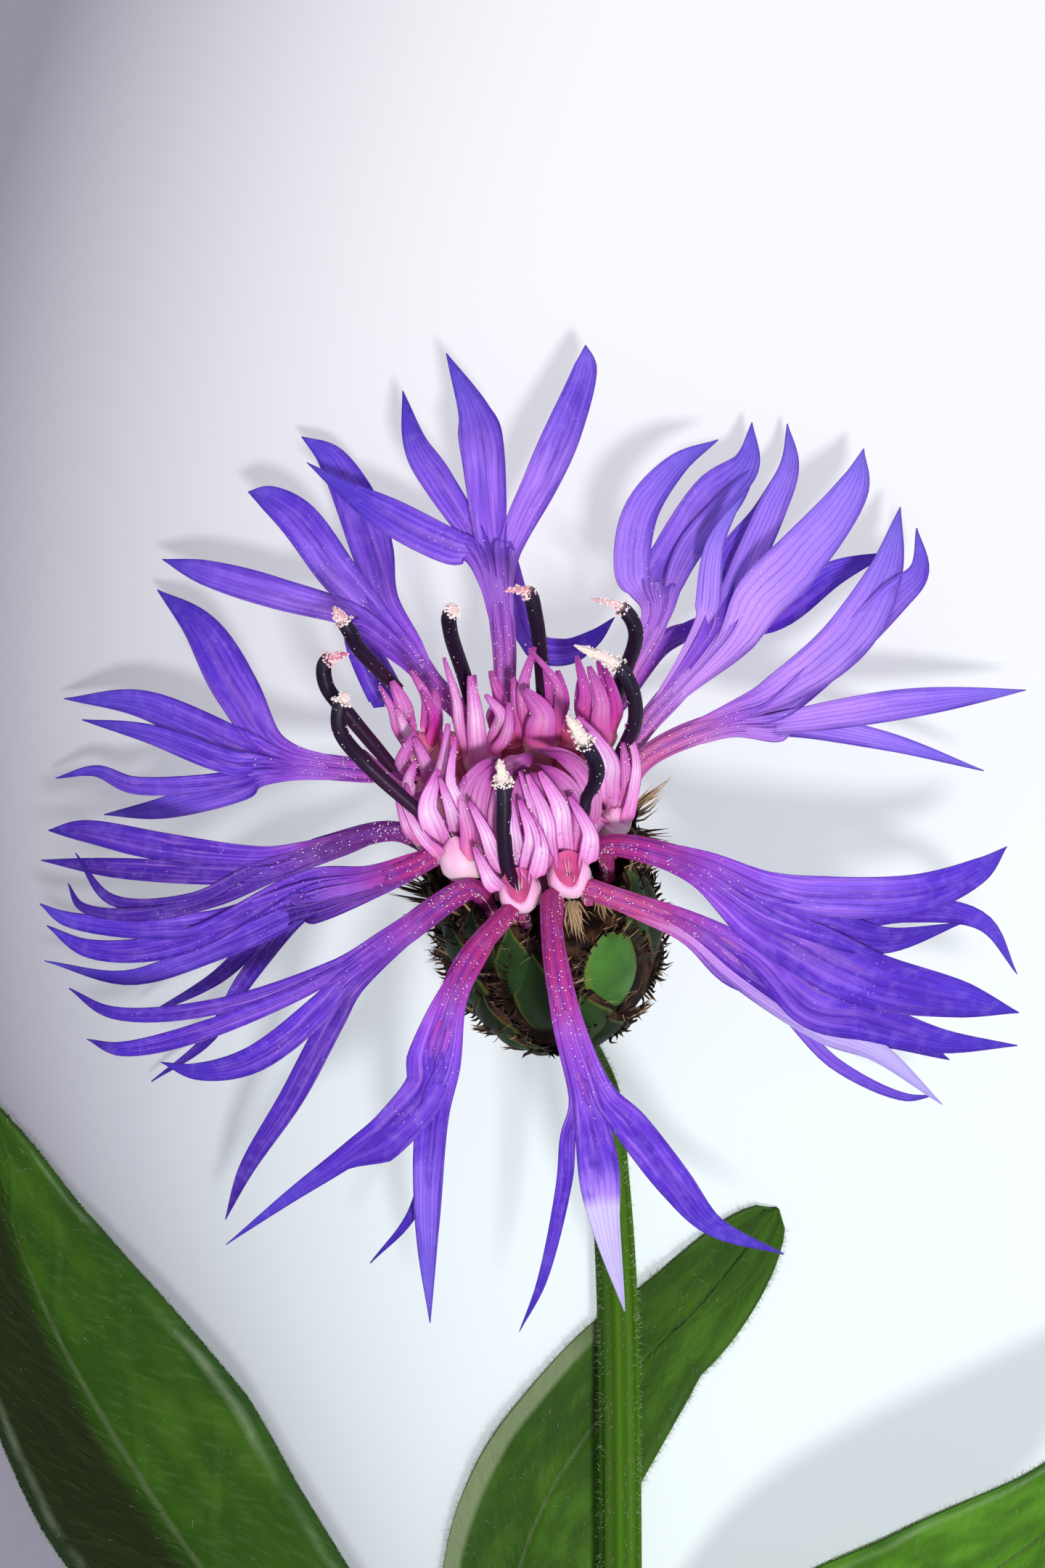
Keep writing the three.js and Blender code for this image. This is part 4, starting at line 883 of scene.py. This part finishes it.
def discBell(name, turn, radius, bell, swell, shade, out, isOpen):
    foot, rise = headPoint(turn, radius, receptacleTop), headPoint(turn, radius, 2)
    rim = bell + out * swell * (0.8 if isOpen else 1.15)
    path = [foot, rise, bell - (bell - rise).normalized() * swell * 0.95, bell, rim]
    ending = [0.92 * swell, 0.66 * swell] if isOpen else [0.74 * swell, 0.1 * swell]
    radii = [0.5, 0.55, 0.6, 0.66, 0.75 * swell, 0.94 * swell, swell] + ending
    front = (Vector((0.1, -1, 0)) + out * out.y).normalized()

    def notch(share, away):
        return out * swell * share * (0.35 - 0.95 * max(away.dot(front), 0) ** 2)

    def radiusAt(along, angle):
        return valueAlong(radii, along) * ribbed(bellLook["ribDepth"], bellLook["ribs"], angle)

    look = {**bellLook, "tone": shade, "radiusAt": radiusAt, "reachAt": lambda along: 0.8 * along}
    if isOpen:
        look["shiftAt"] = lambda along, away: notch(max(along - bellLook["notchFrom"], 0) / 0.22, away)
    pieces = [sleevePiece(name, path, look)]
    if isOpen:
        floor = bell.lerp(rim, 0.35)
        pieces.append(sleevePiece(name + "throat", [floor, floor.lerp(rim, 0.5), rim], {
            **throatLook, "reachAt": lambda along: 0.84,
            "shiftAt": notch, "radiusAt": lambda along, angle: swell * 0.67 * (0.02 + 0.98 * along) ** 0.5}))
    return pieces


# a lobe leaves the waist of its bell as a segment of the wall and then stands free
def discLobe(name, bell, swell, out, outward, count, lobe):
    halfWidth, tone, base, middle, tip = lobe
    curl = discLook["curl"] * (1 if tone < 0.3 else -1)
    waist = bell + outward * swell * 0.90 - out * swell * 0.25
    rim = bell + outward * swell * 0.84 + out * swell * 0.60
    wallWidth = swell * 0.95 * math.sin(math.pi / max(count, 4))

    def halfWidthAt(along, column=0):
        strap = halfWidth * math.sin(math.pi * (0.2 + 0.78 * along)) ** 0.6
        return strap + (wallWidth - strap) * max(1 - along / 0.45, 0) ** 1.2

    def liftAt(along, column):
        pleat = 0.10 * math.cos(column * math.pi * 2)
        folded = halfWidthAt(along) * (curl * (abs(column) ** 1.8 - 0.35) - pleat)
        rounded = -0.36 * wallWidth * column * column
        free = progress(along, 0, 0.5)
        return rounded * (1 - free) + folded * free

    def facingAt(along):
        return outward.lerp(Vector((0, -0.3, 1)), progress(along, 0, 0.55) ** 0.9)

    path = [waist, rim, rim.lerp(middle, 0.5) + outward * 0.1, middle, tip]
    return bladePiece(name, path, {**discLook, "halfWidthAt": halfWidthAt, "liftAt": liftAt, "tone": tone,
                                   "facingAt": facingAt, "reachAt": lambda along: 0.55 + 1.45 * along})


# directions from the bell's axis to its lobes; closed bells have them spread evenly around
def lobeSides(bell, out, lobes, isOpen):
    first = out.orthogonal().normalized()
    second = out.cross(first)
    angles = []
    for lobe in lobes:
        away = lobe[2] - bell
        angles.append(math.atan2(away.dot(second), away.dot(first)))
    if not isOpen:
        order = sorted(range(len(angles)), key=lambda index: angles[index])
        anchor = angles[order[0]]
        for place, index in enumerate(order):
            even = anchor + place * math.tau / len(order)
            angles[index] = angles[index] * 0.25 + even * 0.75
    return [first * math.cos(angle) + second * math.sin(angle) for angle in angles]


budLook = {"columns": 20, "rows": 34, "ribs": 5, "ribDepth": 0.10, "tone": 0.55, "rootOut": 1.7,
           "radii": [0.4, 0.42, 0.5, 0.62, 0.66, 0.55, 0.3, 0.02]}


def discBud(name, index, points):
    foot = headPoint(index * goldenAngle, budLook["rootOut"], receptacleTop)

    def radiusAt(along, angle):
        return valueAlong(budLook["radii"], along) * ribbed(budLook["ribDepth"], budLook["ribs"], angle)

    return sleevePiece(name, [foot, foot.lerp(Vector(points[0]), 0.6)] + points, {
        **budLook, "radiusAt": radiusAt, "reachAt": lambda along: 0.9 + 1.35 * along ** 1.5})


def makeDiscFlorets():
    draw = random.Random(discLook["seed"])
    parts, filaments, grains, backs = [], [], [], []
    for index, (turn, radius, bell, swell, shade, lobes) in enumerate(discFlorets):
        isOpen, bell = index < discLook["open"], Vector(bell)
        lobes = [(half, tone, *(Vector(point) for point in points)) for half, tone, *points in lobes]
        lean = sum((lobe[3] - bell for lobe in lobes), Vector()).normalized()
        out = (lean + upward * (0.9 if isOpen else 0.2)).normalized()
        parts.extend(discBell(f"bell{index}", turn, radius, bell, swell, shade, out, isOpen))
        for count, (lobe, outward) in enumerate(zip(lobes, lobeSides(bell, out, lobes, isOpen))):
            parts.append(discLobe(f"strap{index}{count}", bell, swell, out, outward, len(lobes), lobe))
        backs.extend(lobes)
        for _ in range(discLook["filaments"]):
            aside = strayVector(draw) * swell * 0.22
            end = bell + out * swell * 1.35 + aside
            filaments.append((bell + aside * 0.6, end, 0.07, looseReach, draw.random()))
    for index, points in enumerate(discBuds):
        parts.append(discBud(f"bud{index}", index, points))
    for _ in range(discLook["grains"]):
        half, tone, base, middle, tip = draw.choice(backs)
        share = draw.random()
        place = base.lerp(middle, share * 2) if share < 0.5 else middle.lerp(tip, share * 2 - 1)
        aside = Vector((draw.uniform(-1, 1) * half * 0.8, draw.uniform(-0.3, 0.3), 0.16))
        grains.append((place + aside, draw.uniform(0.03, 0.075), draw.random()))
    parts.extend([needlesPiece("filaments", filaments), grainsPiece("discPollen", grains)])
    finishPiece(joinPieces("innerFlorets", parts), discFinish(), ["disc_florets"])
    print("inner florets made")


antherLook = {"columns": 20, "rows": 56, "ribs": 5, "ribDepth": 0.05, "radius": 0.49, "specks": 26,
              "crumbs": 120, "seed": 90}

# each column: how far the dark tube runs, radius and shade of the stigma beyond it from cream 0 to
# magenta 1, and its points
anthers = [
    (0.8, 0.32, 0.5, [
        (-10.4, 17.8, 15.4), (-13, 20.5, 18), (-13.5, 21.5, 19), (-14.5, 23, 19.5)]),
    (0.8, 0.26, 0.9, [
        (-10.7, 12.6, 16.2), (-13.5, 16, 18), (-15, 18, 18.5), (-15, 19.5, 19), (-13.5, 20, 19.5)]),
    (0.84, 0.3, 0.15, [
        (-8.8, 9.6, 18.4), (-12.5, 13, 19), (-14, 15, 20.5), (-14, 16.5, 21), (-13.5, 17.5, 21.2)]),
    (0.86, 0.36, 0.25, [
        (-5.4, 15.6, 14.6), (-6, 18.2, 15.4), (-7, 21.5, 18.5), (-7, 22.5, 19.5), (-6.5, 23, 20)]),
    (0.74, 0.22, 0.7, [
        (-0.9, 15.6, 14.6), (-1, 18.4, 15.4), (-1.5, 22.5, 18.5), (-2, 24, 19.5), (-3.5, 24, 20)]),
    (0.74, 0.2, 0.45, [
        (3.2, 15.0, 14.6), (3.8, 17.4, 15.2), (5, 21.5, 18.5), (4, 23, 19.5), (2, 23.5, 20)]),
    (0.7, 0.36, 0.05, [
        (3.8, 12.9, 16.2), (5, 16, 18.5), (4, 19, 20), (1, 20.5, 20.5)]),
    (0.72, 0.42, 0.0, [
        (1.2, 8.0, 18.0), (1.7, 10.3, 18.2), (2.5, 12.5, 19.5), (1.5, 14.5, 21), (0.5, 16, 21.5)]),
    (0.8, 0.4, 0.0, [
        (-2.8, 4.9, 18.8), (-3.3, 6.4, 19.8), (-3.5, 8.4, 20.8), (-3.5, 11.2, 21.6), (-3.8, 13.2, 21.8)]),
]


def antherColumn(name, points, bare, stigma, shade, draw):
    radius = antherLook["radius"]
    shaft = [radius * share for share in (0.8, 0.95, 1.0, 1.0, 1.0, 1.02, 1.0, 0.95)]
    tip = [stigma * share for share in (1.3, 1.0, 0.9, 0.7, 0.15)]
    phase = draw.uniform(0, math.tau)

    def radiusAt(along, angle):
        if along < bare:
            return valueAlong(shaft, along / bare) * ribbed(antherLook["ribDepth"], antherLook["ribs"], angle)
        lump = noise.noise(Vector((math.cos(angle), math.sin(angle), along * 16 + phase)))
        return valueAlong(tip, (along - bare) / (1 - bare)) * (1 + 0.45 * lump)

    def reachAt(along):
        return 0.75 * along / bare if along < bare else 0.75 + 0.25 * (along - bare) / (1 - bare)

    tube = sleevePiece(name, points, {**antherLook, "tone": shade, "radiusAt": radiusAt, "reachAt": reachAt})
    path = Path(points)
    grains = []
    for count in range(antherLook["specks"] + antherLook["crumbs"]):
        speck = count < antherLook["specks"]
        along = draw.uniform(0.1, bare) if speck else bare + abs(draw.gauss(0, 0.45)) * (1 - bare) - 0.03
        if along > 1:
            continue
        away = squareTo(path.heading(along), strayVector(draw))
        distance = radiusAt(along, 0) * draw.uniform(0.95, 1.05 if speck else 1.35)
        size = draw.uniform(0.025, 0.05) if speck else draw.uniform(0.05, 0.11)
        grains.append((path.point(along) + away * distance, size, draw.uniform(0, 0.3) + shade * 0.4))
    return joinPieces(name, [tube, grainsPiece(name + "pollen", grains)])


def makeAnthers():
    material = antherFinish()
    for index, (bare, stigma, shade, points) in enumerate(anthers):
        name = f"antherTube{index + 1:02d}"
        column = antherColumn(name, points, bare, stigma, shade, random.Random(antherLook["seed"] + index))
        finishPiece(column, material, [f"anther_tube_{index + 1:02d}"])
    print("anther columns made")


cupOutline = [(-15.0, 1.3), (-14.0, 3.0), (-12.2, 4.9), (-10.2, 6.2), (-8.2, 6.8), (-6.0, 7.0),
              (-3.5, 6.9), (-0.2, 6.6), (3, 6.3)]
coreHeights = (-15, -8, -0.6)   # of the dark core inside the bracts

bractLook = {"columns": 12, "rows": 18, "thickness": 0.3, "lift": 0.15, "widest": 2.15,
             "teeth": 25, "threads": 90, "seed": 7}

# tufts of dry bristles: root, tip, spread, how many, shade from dark 0 to tan 1
bractTufts = [
    ((-7.6, 4.0, 12.6), (-11.0, 4.8, 12.8), 1.0, 40, 0.0),
    ((-7.4, 3.0, 11.8), (-9.8, 2.8, 11.6), 0.9, 30, 0.1),
    ((-7.0, 0.6, 9.2), (-9.0, -0.2, 8.6), 0.8, 26, 0.1),
    ((-6.2, -2.2, 7.0), (-7.8, -3.4, 6.2), 0.8, 26, 0.15),
    ((4.6, 9.4, 12.6), (7.2, 11.4, 13.0), 0.8, 36, 0.8),
    ((4.8, 8.0, 13.0), (7.2, 7.9, 13.4), 0.8, 34, 0.1),
    ((5.4, 3.4, 10.6), (7.4, 3.4, 10.4), 0.8, 26, 0.1),
    ((5.4, 0.2, 8.0), (7.4, -0.9, 7.8), 0.8, 26, 0.6),
    ((-3.2, 3.2, 17.6), (-2.9, 0.8, 17.6), 0.5, 46, 1.0),
    ((0.8, 3.8, 17.4), (1.3, 1.6, 17.8), 0.7, 50, 1.0),
    ((2.8, 4.4, 16.4), (3.4, 3.0, 17.2), 0.6, 34, 1.0),
    ((-5.6, 3.6, 16.4), (-6.2, 2.2, 16.6), 0.6, 30, 0.8),
    ((-0.8, -5.0, 5.0), (-1.2, -7.0, 4.6), 0.5, 22, 0.7),
    ((3.2, -2.6, 6.2), (4.6, -4.0, 6.0), 0.5, 20, 0.5)]

# rows of bracts: height of the feet, how many, length, half width, turn of the first
bractRows = [
    (-14.4, 5, 3.2, 1.6, 20), (-13.0, 6, 4.6, 2.0, 50), (-11.2, 7, 6.0, 2.1, 17), (-8.2, 8, 7.0, 2.1, 29),
    (-5.2, 9, 6.2, 1.9, 10), (-3.0, 9, 5.2, 1.6, 30)]

# brighter bracts by row and place in it, those left out, and those without a fringe; the bracts not
# listed as brighter keep a dark tone that is partly painted shade
brightBracts = {(3, 6): 1.0, (3, 5): 0.14, (2, 5): 0.2, (4, 8): 0.3, (4, 6): 0.2}
missingBracts = [(4, 7), (5, 6), (5, 7), (2, 6)]
smoothBracts = [(2, 5)]

# one bract is wider than the rest and a full oval
ovalBract = {"place": (3, 6), "wide": 2.3, "long": 6.6, "turn": 298}


def cupRadius(height):
    for (low, lowRadius), (high, highRadius) in zip(cupOutline, cupOutline[1:]):
        if height <= high:
            share = max(height - low, 0) / (high - low)
            return lowRadius + (highRadius - lowRadius) * share
    return cupOutline[-1][1]


def bractPoint(turn, height, aside, lift):
    radius = cupRadius(height)
    return headPoint(turn + math.degrees(aside / radius), radius + lift, height)


def bractHalf(wide, along):
    if wide > bractLook["widest"]:
        return wide * max(1 - abs(2.02 * along - 0.98) ** 2.2, 0.0) ** 0.55   # the full oval
    return wide * math.sin(math.pi * (0.16 + 0.80 * along)) ** 0.62


def bractTeeth(turn, height, long, wide, draw):
    teeth = []
    for tooth in range(bractLook["teeth"]):
        place = tooth / (bractLook["teeth"] - 1) * 2 - 1   # -1 left margin, 0 tip, 1 right margin
        away = abs(place)
        along = 1 - away * 0.66
        side = math.copysign(1, place) if away > 0.02 else 0
        half = bractHalf(wide, along) * side
        stand = bractLook["lift"] + 0.45 * along ** 2
        length = draw.uniform(0.7, 1.7) * (1 - 0.35 * away)
        outward = draw.uniform(0.0, 1.0)
        root, rise, lean = height + long * along, length * (1 - 0.6 * away), side * length
        foot = bractPoint(turn, root, half * 0.95, stand)
        aside = half + lean * (0.15 + 0.45 * away) + draw.uniform(-0.1, 0.1)
        bend = bractPoint(turn, root + rise * 0.5, aside, stand + 0.15 + outward * 0.4)
        tip = bractPoint(turn, root + rise + draw.uniform(-0.25, 0.2),
                         half + lean * (0.3 + 0.6 * away) + draw.uniform(-0.3, 0.3), stand + 0.1 + outward)
        teeth.append((foot, tip, draw.uniform(0.11, 0.17), looseReach, draw.random(), bend))
    return teeth


def bractScale(turn, height, long, wide, tone):
    def pointAt(along, column):
        bulge = 0.55 * (1 - column * column) * math.sin(math.pi * along) ** 0.7 + 0.3 * along ** 2
        return bractPoint(turn, height + long * along, column * bractHalf(wide, along),
                          bractLook["lift"] + bulge - 0.12 * abs(column))

    piece = gridPiece("bract", bractLook, pointAt, lambda along: 1 + along, lambda column: column,
                      lambda along, column: tone)
    applyModifier(piece, "SOLIDIFY", thickness=bractLook["thickness"] * mm, offset=-1)
    return piece


# loose threads between the rows
def bractThreads(draw):
    threads = []
    for _ in range(bractLook["threads"]):
        turn, height = draw.uniform(0, 360), draw.choice((-10, -7, -3, -1, 1)) + draw.uniform(-0.8, 0.8)
        foot = bractPoint(turn, height, 0, 0.4)
        bend, tip = [bractPoint(turn, height + draw.uniform(*rise), draw.uniform(-aside, aside),
                                draw.uniform(*lift))
                     for rise, aside, lift in (((0.2, 0.8), 0.6, (0.7, 1.3)), ((-0.4, 1.2), 1.2, (0.6, 1.7)))]
        threads.append((foot, tip, 0.04, looseReach + 1, draw.random(), bend))
    return threads


def bractTuft(root, tip, spread, count, shade, draw):
    bristles = []
    for _ in range(count):
        stray = strayVector(draw, 0.6) * spread * 0.5
        foot = root + stray * 0.5
        end = root.lerp(tip, draw.uniform(0.5, 1.05)) + stray
        bend = foot.lerp(end, 0.5) + strayVector(draw) * 0.14
        bristles.append((foot, end, draw.uniform(0.05, 0.13), looseReach + 0.7 * shade, 0.5 + 0.5 * shade,
                         bend))
    return bristles


def makeInvolucre():
    draw = random.Random(bractLook["seed"])
    parts, needles = [], []
    for row, (height, count, length, halfWidth, start) in enumerate(bractRows):
        for index in range(count):
            if (row, index) in missingBracts:
                continue
            turn = start + index * 360 / count + draw.uniform(-4, 4)
            long = length * draw.uniform(0.93, 1.05)
            wide = min(halfWidth * draw.uniform(0.94, 1.06), bractLook["widest"])
            if (row, index) == ovalBract["place"]:
                wide, long, turn = ovalBract["wide"], ovalBract["long"], ovalBract["turn"]
            # bracts not listed as brighter get a low tone, partly painted shade
            tone = brightBracts.get((row, index), draw.uniform(0, 0.16))
            parts.append(bractScale(turn, height, long, wide, tone))
            if (row, index) not in smoothBracts:
                needles.extend(bractTeeth(turn, height, long, wide, draw))
    needles.extend(bractThreads(draw))
    for root, tip, spread, count, shade in bractTufts:
        needles.extend(bractTuft(Vector(root), Vector(tip), spread, count, shade, draw))
    parts.append(needlesPiece("bractTeeth", needles))
    low, high = coreHeights[0], coreHeights[-1]
    parts.append(sleevePiece("cupCore", [headPoint(0, 0, height) for height in coreHeights], {
        "columns": 36, "rows": 24, "tone": 0.0, "ribs": 0, "reachAt": lambda along: 2.0,
        "radiusAt": lambda along, angle: 0.01 if along > 0.97 else cupRadius(low + (high - low) * along)}))
    whole = joinPieces("involucreCup", parts)
    restOnGround(whole)
    finishPiece(whole, bractFinish(), ["involucre"])
    print("cup of bracts made")


stemLook = {"columns": 72, "rows": 120, "ribs": 9, "radii": [1.0, 1.3, 1.5, 1.7], "hairs": 4200,
            "seed": 21, "hairRadius": 0.014, "clearance": 0.05}   # hairs end this far above the ground

stemPath = [headPoint(0, 0, -13.5), headPoint(0, 0, -16.3), (2.2, -7.4, 1.6), (3.2, -10, 1.5),
            (3.7, -15, 2.1), (4.2, -23, 3.0), (4.4, -36, 3.4), (4.4, -51, 3.0), (4.3, -62, 2.2),
            (4.2, -72, 1.66)]


def makeStem():
    draw = random.Random(stemLook["seed"])

    def radiusAt(along, angle):
        if along > 0.9995:
            return 0.02   # the cut end is closed
        return valueAlong(stemLook["radii"], along) * (0.94 + 0.06 * math.cos(stemLook["ribs"] * angle))

    # painted light and shade: the tone runs round the stalk from a shaded side to a lit side
    stalk = sleevePiece("stalk", stemPath, {**stemLook, "radiusAt": radiusAt,
                                            "toneAt": lambda along, angle: 0.5 + 0.5 * math.cos(angle)})
    path = Path(stemPath)
    needles = []
    for _ in range(stemLook["hairs"]):
        along = draw.uniform(0.06, 0.99)
        heading = path.heading(along)
        away = squareTo(heading, strayVector(draw))
        foot = path.point(along) + away * valueAlong(stemLook["radii"], along) * 0.93
        tip = foot + away * draw.uniform(0.2, 0.5) + heading * draw.uniform(-0.35, 0.35)
        if tip.z > stemLook["clearance"]:
            needles.append((foot, tip, stemLook["hairRadius"], looseReach, draw.random()))
    whole = joinPieces("stalk", [stalk, needlesPiece("stalkHairs", needles)])
    finishPiece(whole, stemFinish(), ["stem"])
    print("stem made")


leafLook = {"columns": 28, "rows": 90, "thickness": 0.45, "marginHairs": 2200, "faceHairs": 260,
            "seed": 60, "hairRadius": 0.016, "clearance": 0.02}

# each leaf's left half darkens towards its margin by its left tone: partly its darker colour, partly painted
# shade
leaves = {
    "leafLeft": dict(node="leaf_left", left=6.5, right=9.6, riseLeft=0.65, riseRight=0.25, tone=0.34,
                     leftToneAndShade=0.12, woolly=0.6, rolled=0, taper=0.9, points=[
        (2.2, -63, 2.4), (-5, -59.5, 4), (-14.5, -54, 5), (-24.5, -42, 4.5), (-29, -35.5, 4),
        (-34, -27.5, 2.6), (-37, -21, 1.6), (-39, -15, 1), (-41.5, -9, 0.3)]),
    "leafMiddle": dict(node="leaf_middle", left=5.6, right=5.2, riseLeft=0.2, riseRight=0.06, tone=0.48,
                       leftToneAndShade=0.66, woolly=0.1, rolled=0.85, taper=0, points=[
        (2.2, -58, 2.2), (-1.5, -54.5, 1.8), (-3.3, -49, 1.2), (-2.5, -43, 0.7), (-0.5, -38, 0.5),
        (2, -34, 0.45), (6.2, -28.4, 0.5), (10, -24.6, 0.6), (15.5, -18, 0.28)]),
    "leafRight": dict(node="leaf_right", left=6, right=6, riseLeft=0.2, riseRight=0.3, tone=1.0,
                      leftToneAndShade=1.0, woolly=0.5, rolled=0, taper=0.1, points=[
        (6.4, -61, 2.6), (10, -54.5, 6.5), (17, -47, 12), (25, -42, 15.5), (32.5, -36.5, 16.5),
        (38, -30, 15)]),
}


def leafShape(along, taper):
    if along > 0.8 and not taper:
        return 0.693 * max(1 - ((along - 0.8) / 0.2) ** 2.2, 0.0) ** 0.5   # rounded at the tip
    slim = 1 - taper * max(along - 0.5, 0)
    return math.sin(math.pi * min(0.03 + 0.94 * along, 0.97)) ** 0.8 * slim


def makeLeaf(name, leaf, draw, material):
    def halfWidthAt(along, column):
        side = leaf["left"] if column < 0 else leaf["right"]
        return max(side * leafShape(along, leaf["taper"]), 0.06)

    def liftAt(along, column):
        side = leaf["left"] * leaf["riseLeft"] if column < 0 else leaf["right"] * leaf["riseRight"]
        away = abs(column)
        wave = 0.25 * math.sin(along * 19 + column * 2) * away
        ribs = 0.10 * math.sin(along * 80 - away * 9) * away * (1 - away)
        groove = -0.25 * math.exp(-(column / 0.05) ** 2)
        return (side * away + wave) * leafShape(along, leaf["taper"]) + ribs + groove

    def toneAt(along, column):
        # partly its darker colour, partly painted shade: the left half darkens towards its margin
        left = leaf["leftToneAndShade"]
        return leaf["tone"] * (1 if column > 0 else left + (1 - left) * max(1 + column * 4, 0))

    blade = bladePiece(name, leaf["points"], {**leafLook, "halfWidthAt": halfWidthAt, "liftAt": liftAt,
                                              "toneAt": toneAt, "reachAt": lambda along: along})
    path = Path(leaf["points"])
    needles = []
    for count in range(leafLook["marginHairs"] + leafLook["faceHairs"]):
        along = draw.uniform(0.03, 0.99)
        onMargin = count < leafLook["marginHairs"]
        column = draw.choice((-1, 1)) if onMargin else draw.uniform(-0.97, 0.97)
        halfWidth, lift = halfWidthAt(along, column), liftAt(along, column)
        foot, heading, normal, side = bladePoint(path, along, upward, column, halfWidth, lift)
        if onMargin:
            tip = (foot + side * column * draw.uniform(0.15, 0.5) + heading * draw.uniform(-0.3, 0.5)
                   + normal * draw.uniform(-0.1, 0.35))
        else:
            foot = foot + normal * leafLook["thickness"] * 0.5
            tip = (foot + normal * draw.uniform(0.03, 0.2)
                   + (side * draw.gauss(0, 1) + heading * draw.gauss(0, 1)) * 0.25)
        if tip.z > leafLook["clearance"]:
            needles.append((foot, tip, leafLook["hairRadius"], looseReach, draw.random()))
    whole = joinPieces(name, [blade, needlesPiece(name + "Hairs", needles)])
    restOnGround(whole)
    finishPiece(whole, material, [leaf["node"]])


def makeLeaves():
    for index, (name, leaf) in enumerate(leaves.items()):
        material = leafFinish(name + "Blade", leaf["woolly"], leaf["rolled"])
        makeLeaf(name, leaf, random.Random(leafLook["seed"] + index), material)
    print("leaves made")


studioLook = {"paper": (0.87, 0.87, 0.915), "lowPaper": (0.845, 0.93, 0.965),
              "shadedPaper": (0.26, 0.245, 0.31), "paperGlow": 0.62, "skyColor": (0.93, 0.93, 1.0),
              "skyPower": 0.55, "lens": 82.25, "cameraPlace": (-2.3, 11.6, 250)}

# place and size in metres, power, colour
lamps = {"keyLamp": ((0.105, -0.18, 0.68), 0.09, 4.8, (1.0, 0.99, 0.97)),
         "topLamp": ((-0.05, 0.60, 0.60), 0.35, 0.7, (0.94, 0.95, 1.0))}


def addLamp(name, place, size, power, color):
    light = bpy.data.lights.new(name, "AREA")
    light.shape, light.size, light.energy, light.color = "DISK", size, power, color
    holder = linkedObject(name, light)
    holder.location = place
    holder.rotation_euler = (-Vector(place)).to_track_quat("-Z", "Y").to_euler()


# pale paper that gives off a little painted light of its own, with painted shade darkening it towards one
# side
def paperFinish():
    paper = Finish("palePaper", Roughness=0.9, Specular_IOR_Level=0.05,
                   Emission_Strength=studioLook["paperGlow"])
    aside, up = [paper.wire(axis, "ShaderNodeSeparateXYZ", None, {"Vector": paper.place()}) for axis in "XY"]
    bend = (up - 0.02) * (up - 0.02) * 4.0
    # painted shade: the paper darkens towards one corner, where the light falls off
    corner = paper.step(bend - aside, 0.0, 0.0432) ** 2.0
    grain = paper.noise(900, 4.0)
    paper.color = paper.mix(paper.step(up, 0.030, -0.020), studioLook["paper"], studioLook["lowPaper"])
    paper.coat(corner, studioLook["shadedPaper"])
    paper.coat(grain * 0.04, (0.80, 0.80, 0.84))
    # painted light: the paper glows with its own colour, which keeps its shadows faint
    paintedLight = paper.color
    # the base colour is dimmed so the painted glow carries most of the paper's brightness
    paper.coat(0.66, (0, 0, 0))
    return paper.shade(None, grain, 0.02, paintedLight)


def makeStudio():
    clearSelection()
    bpy.ops.mesh.primitive_plane_add(size=3, location=(0, 0, 0))
    floor = bpy.context.object
    floor.name = "paleFloor"
    floor.data.materials.append(paperFinish())
    for name, settings in lamps.items():
        addLamp(name, *settings)

    world = bpy.data.worlds.new("softSky")
    world.use_nodes = True
    sky = world.node_tree.nodes["Background"]
    sky.inputs["Color"].default_value = (*studioLook["skyColor"], 1)
    sky.inputs["Strength"].default_value = studioLook["skyPower"]
    bpy.context.scene.world = world
    bpy.context.scene.view_settings.view_transform = "Standard"

    camera = bpy.data.cameras.new("overheadCamera")
    camera.sensor_fit, camera.sensor_height, camera.sensor_width = "VERTICAL", 36, 36
    camera.lens, camera.clip_start, camera.clip_end = studioLook["lens"], 0.01, 10
    holder = linkedObject("overheadCamera", camera)
    holder.location = Vector(studioLook["cameraPlace"]) * mm
    bpy.context.scene.camera = holder
    print("floor, lamps and camera placed")


makeInvolucre()
makeStem()
makeLeaves()
makeRayFlorets()
makeDiscFlorets()
makeAnthers()
makeStudio()
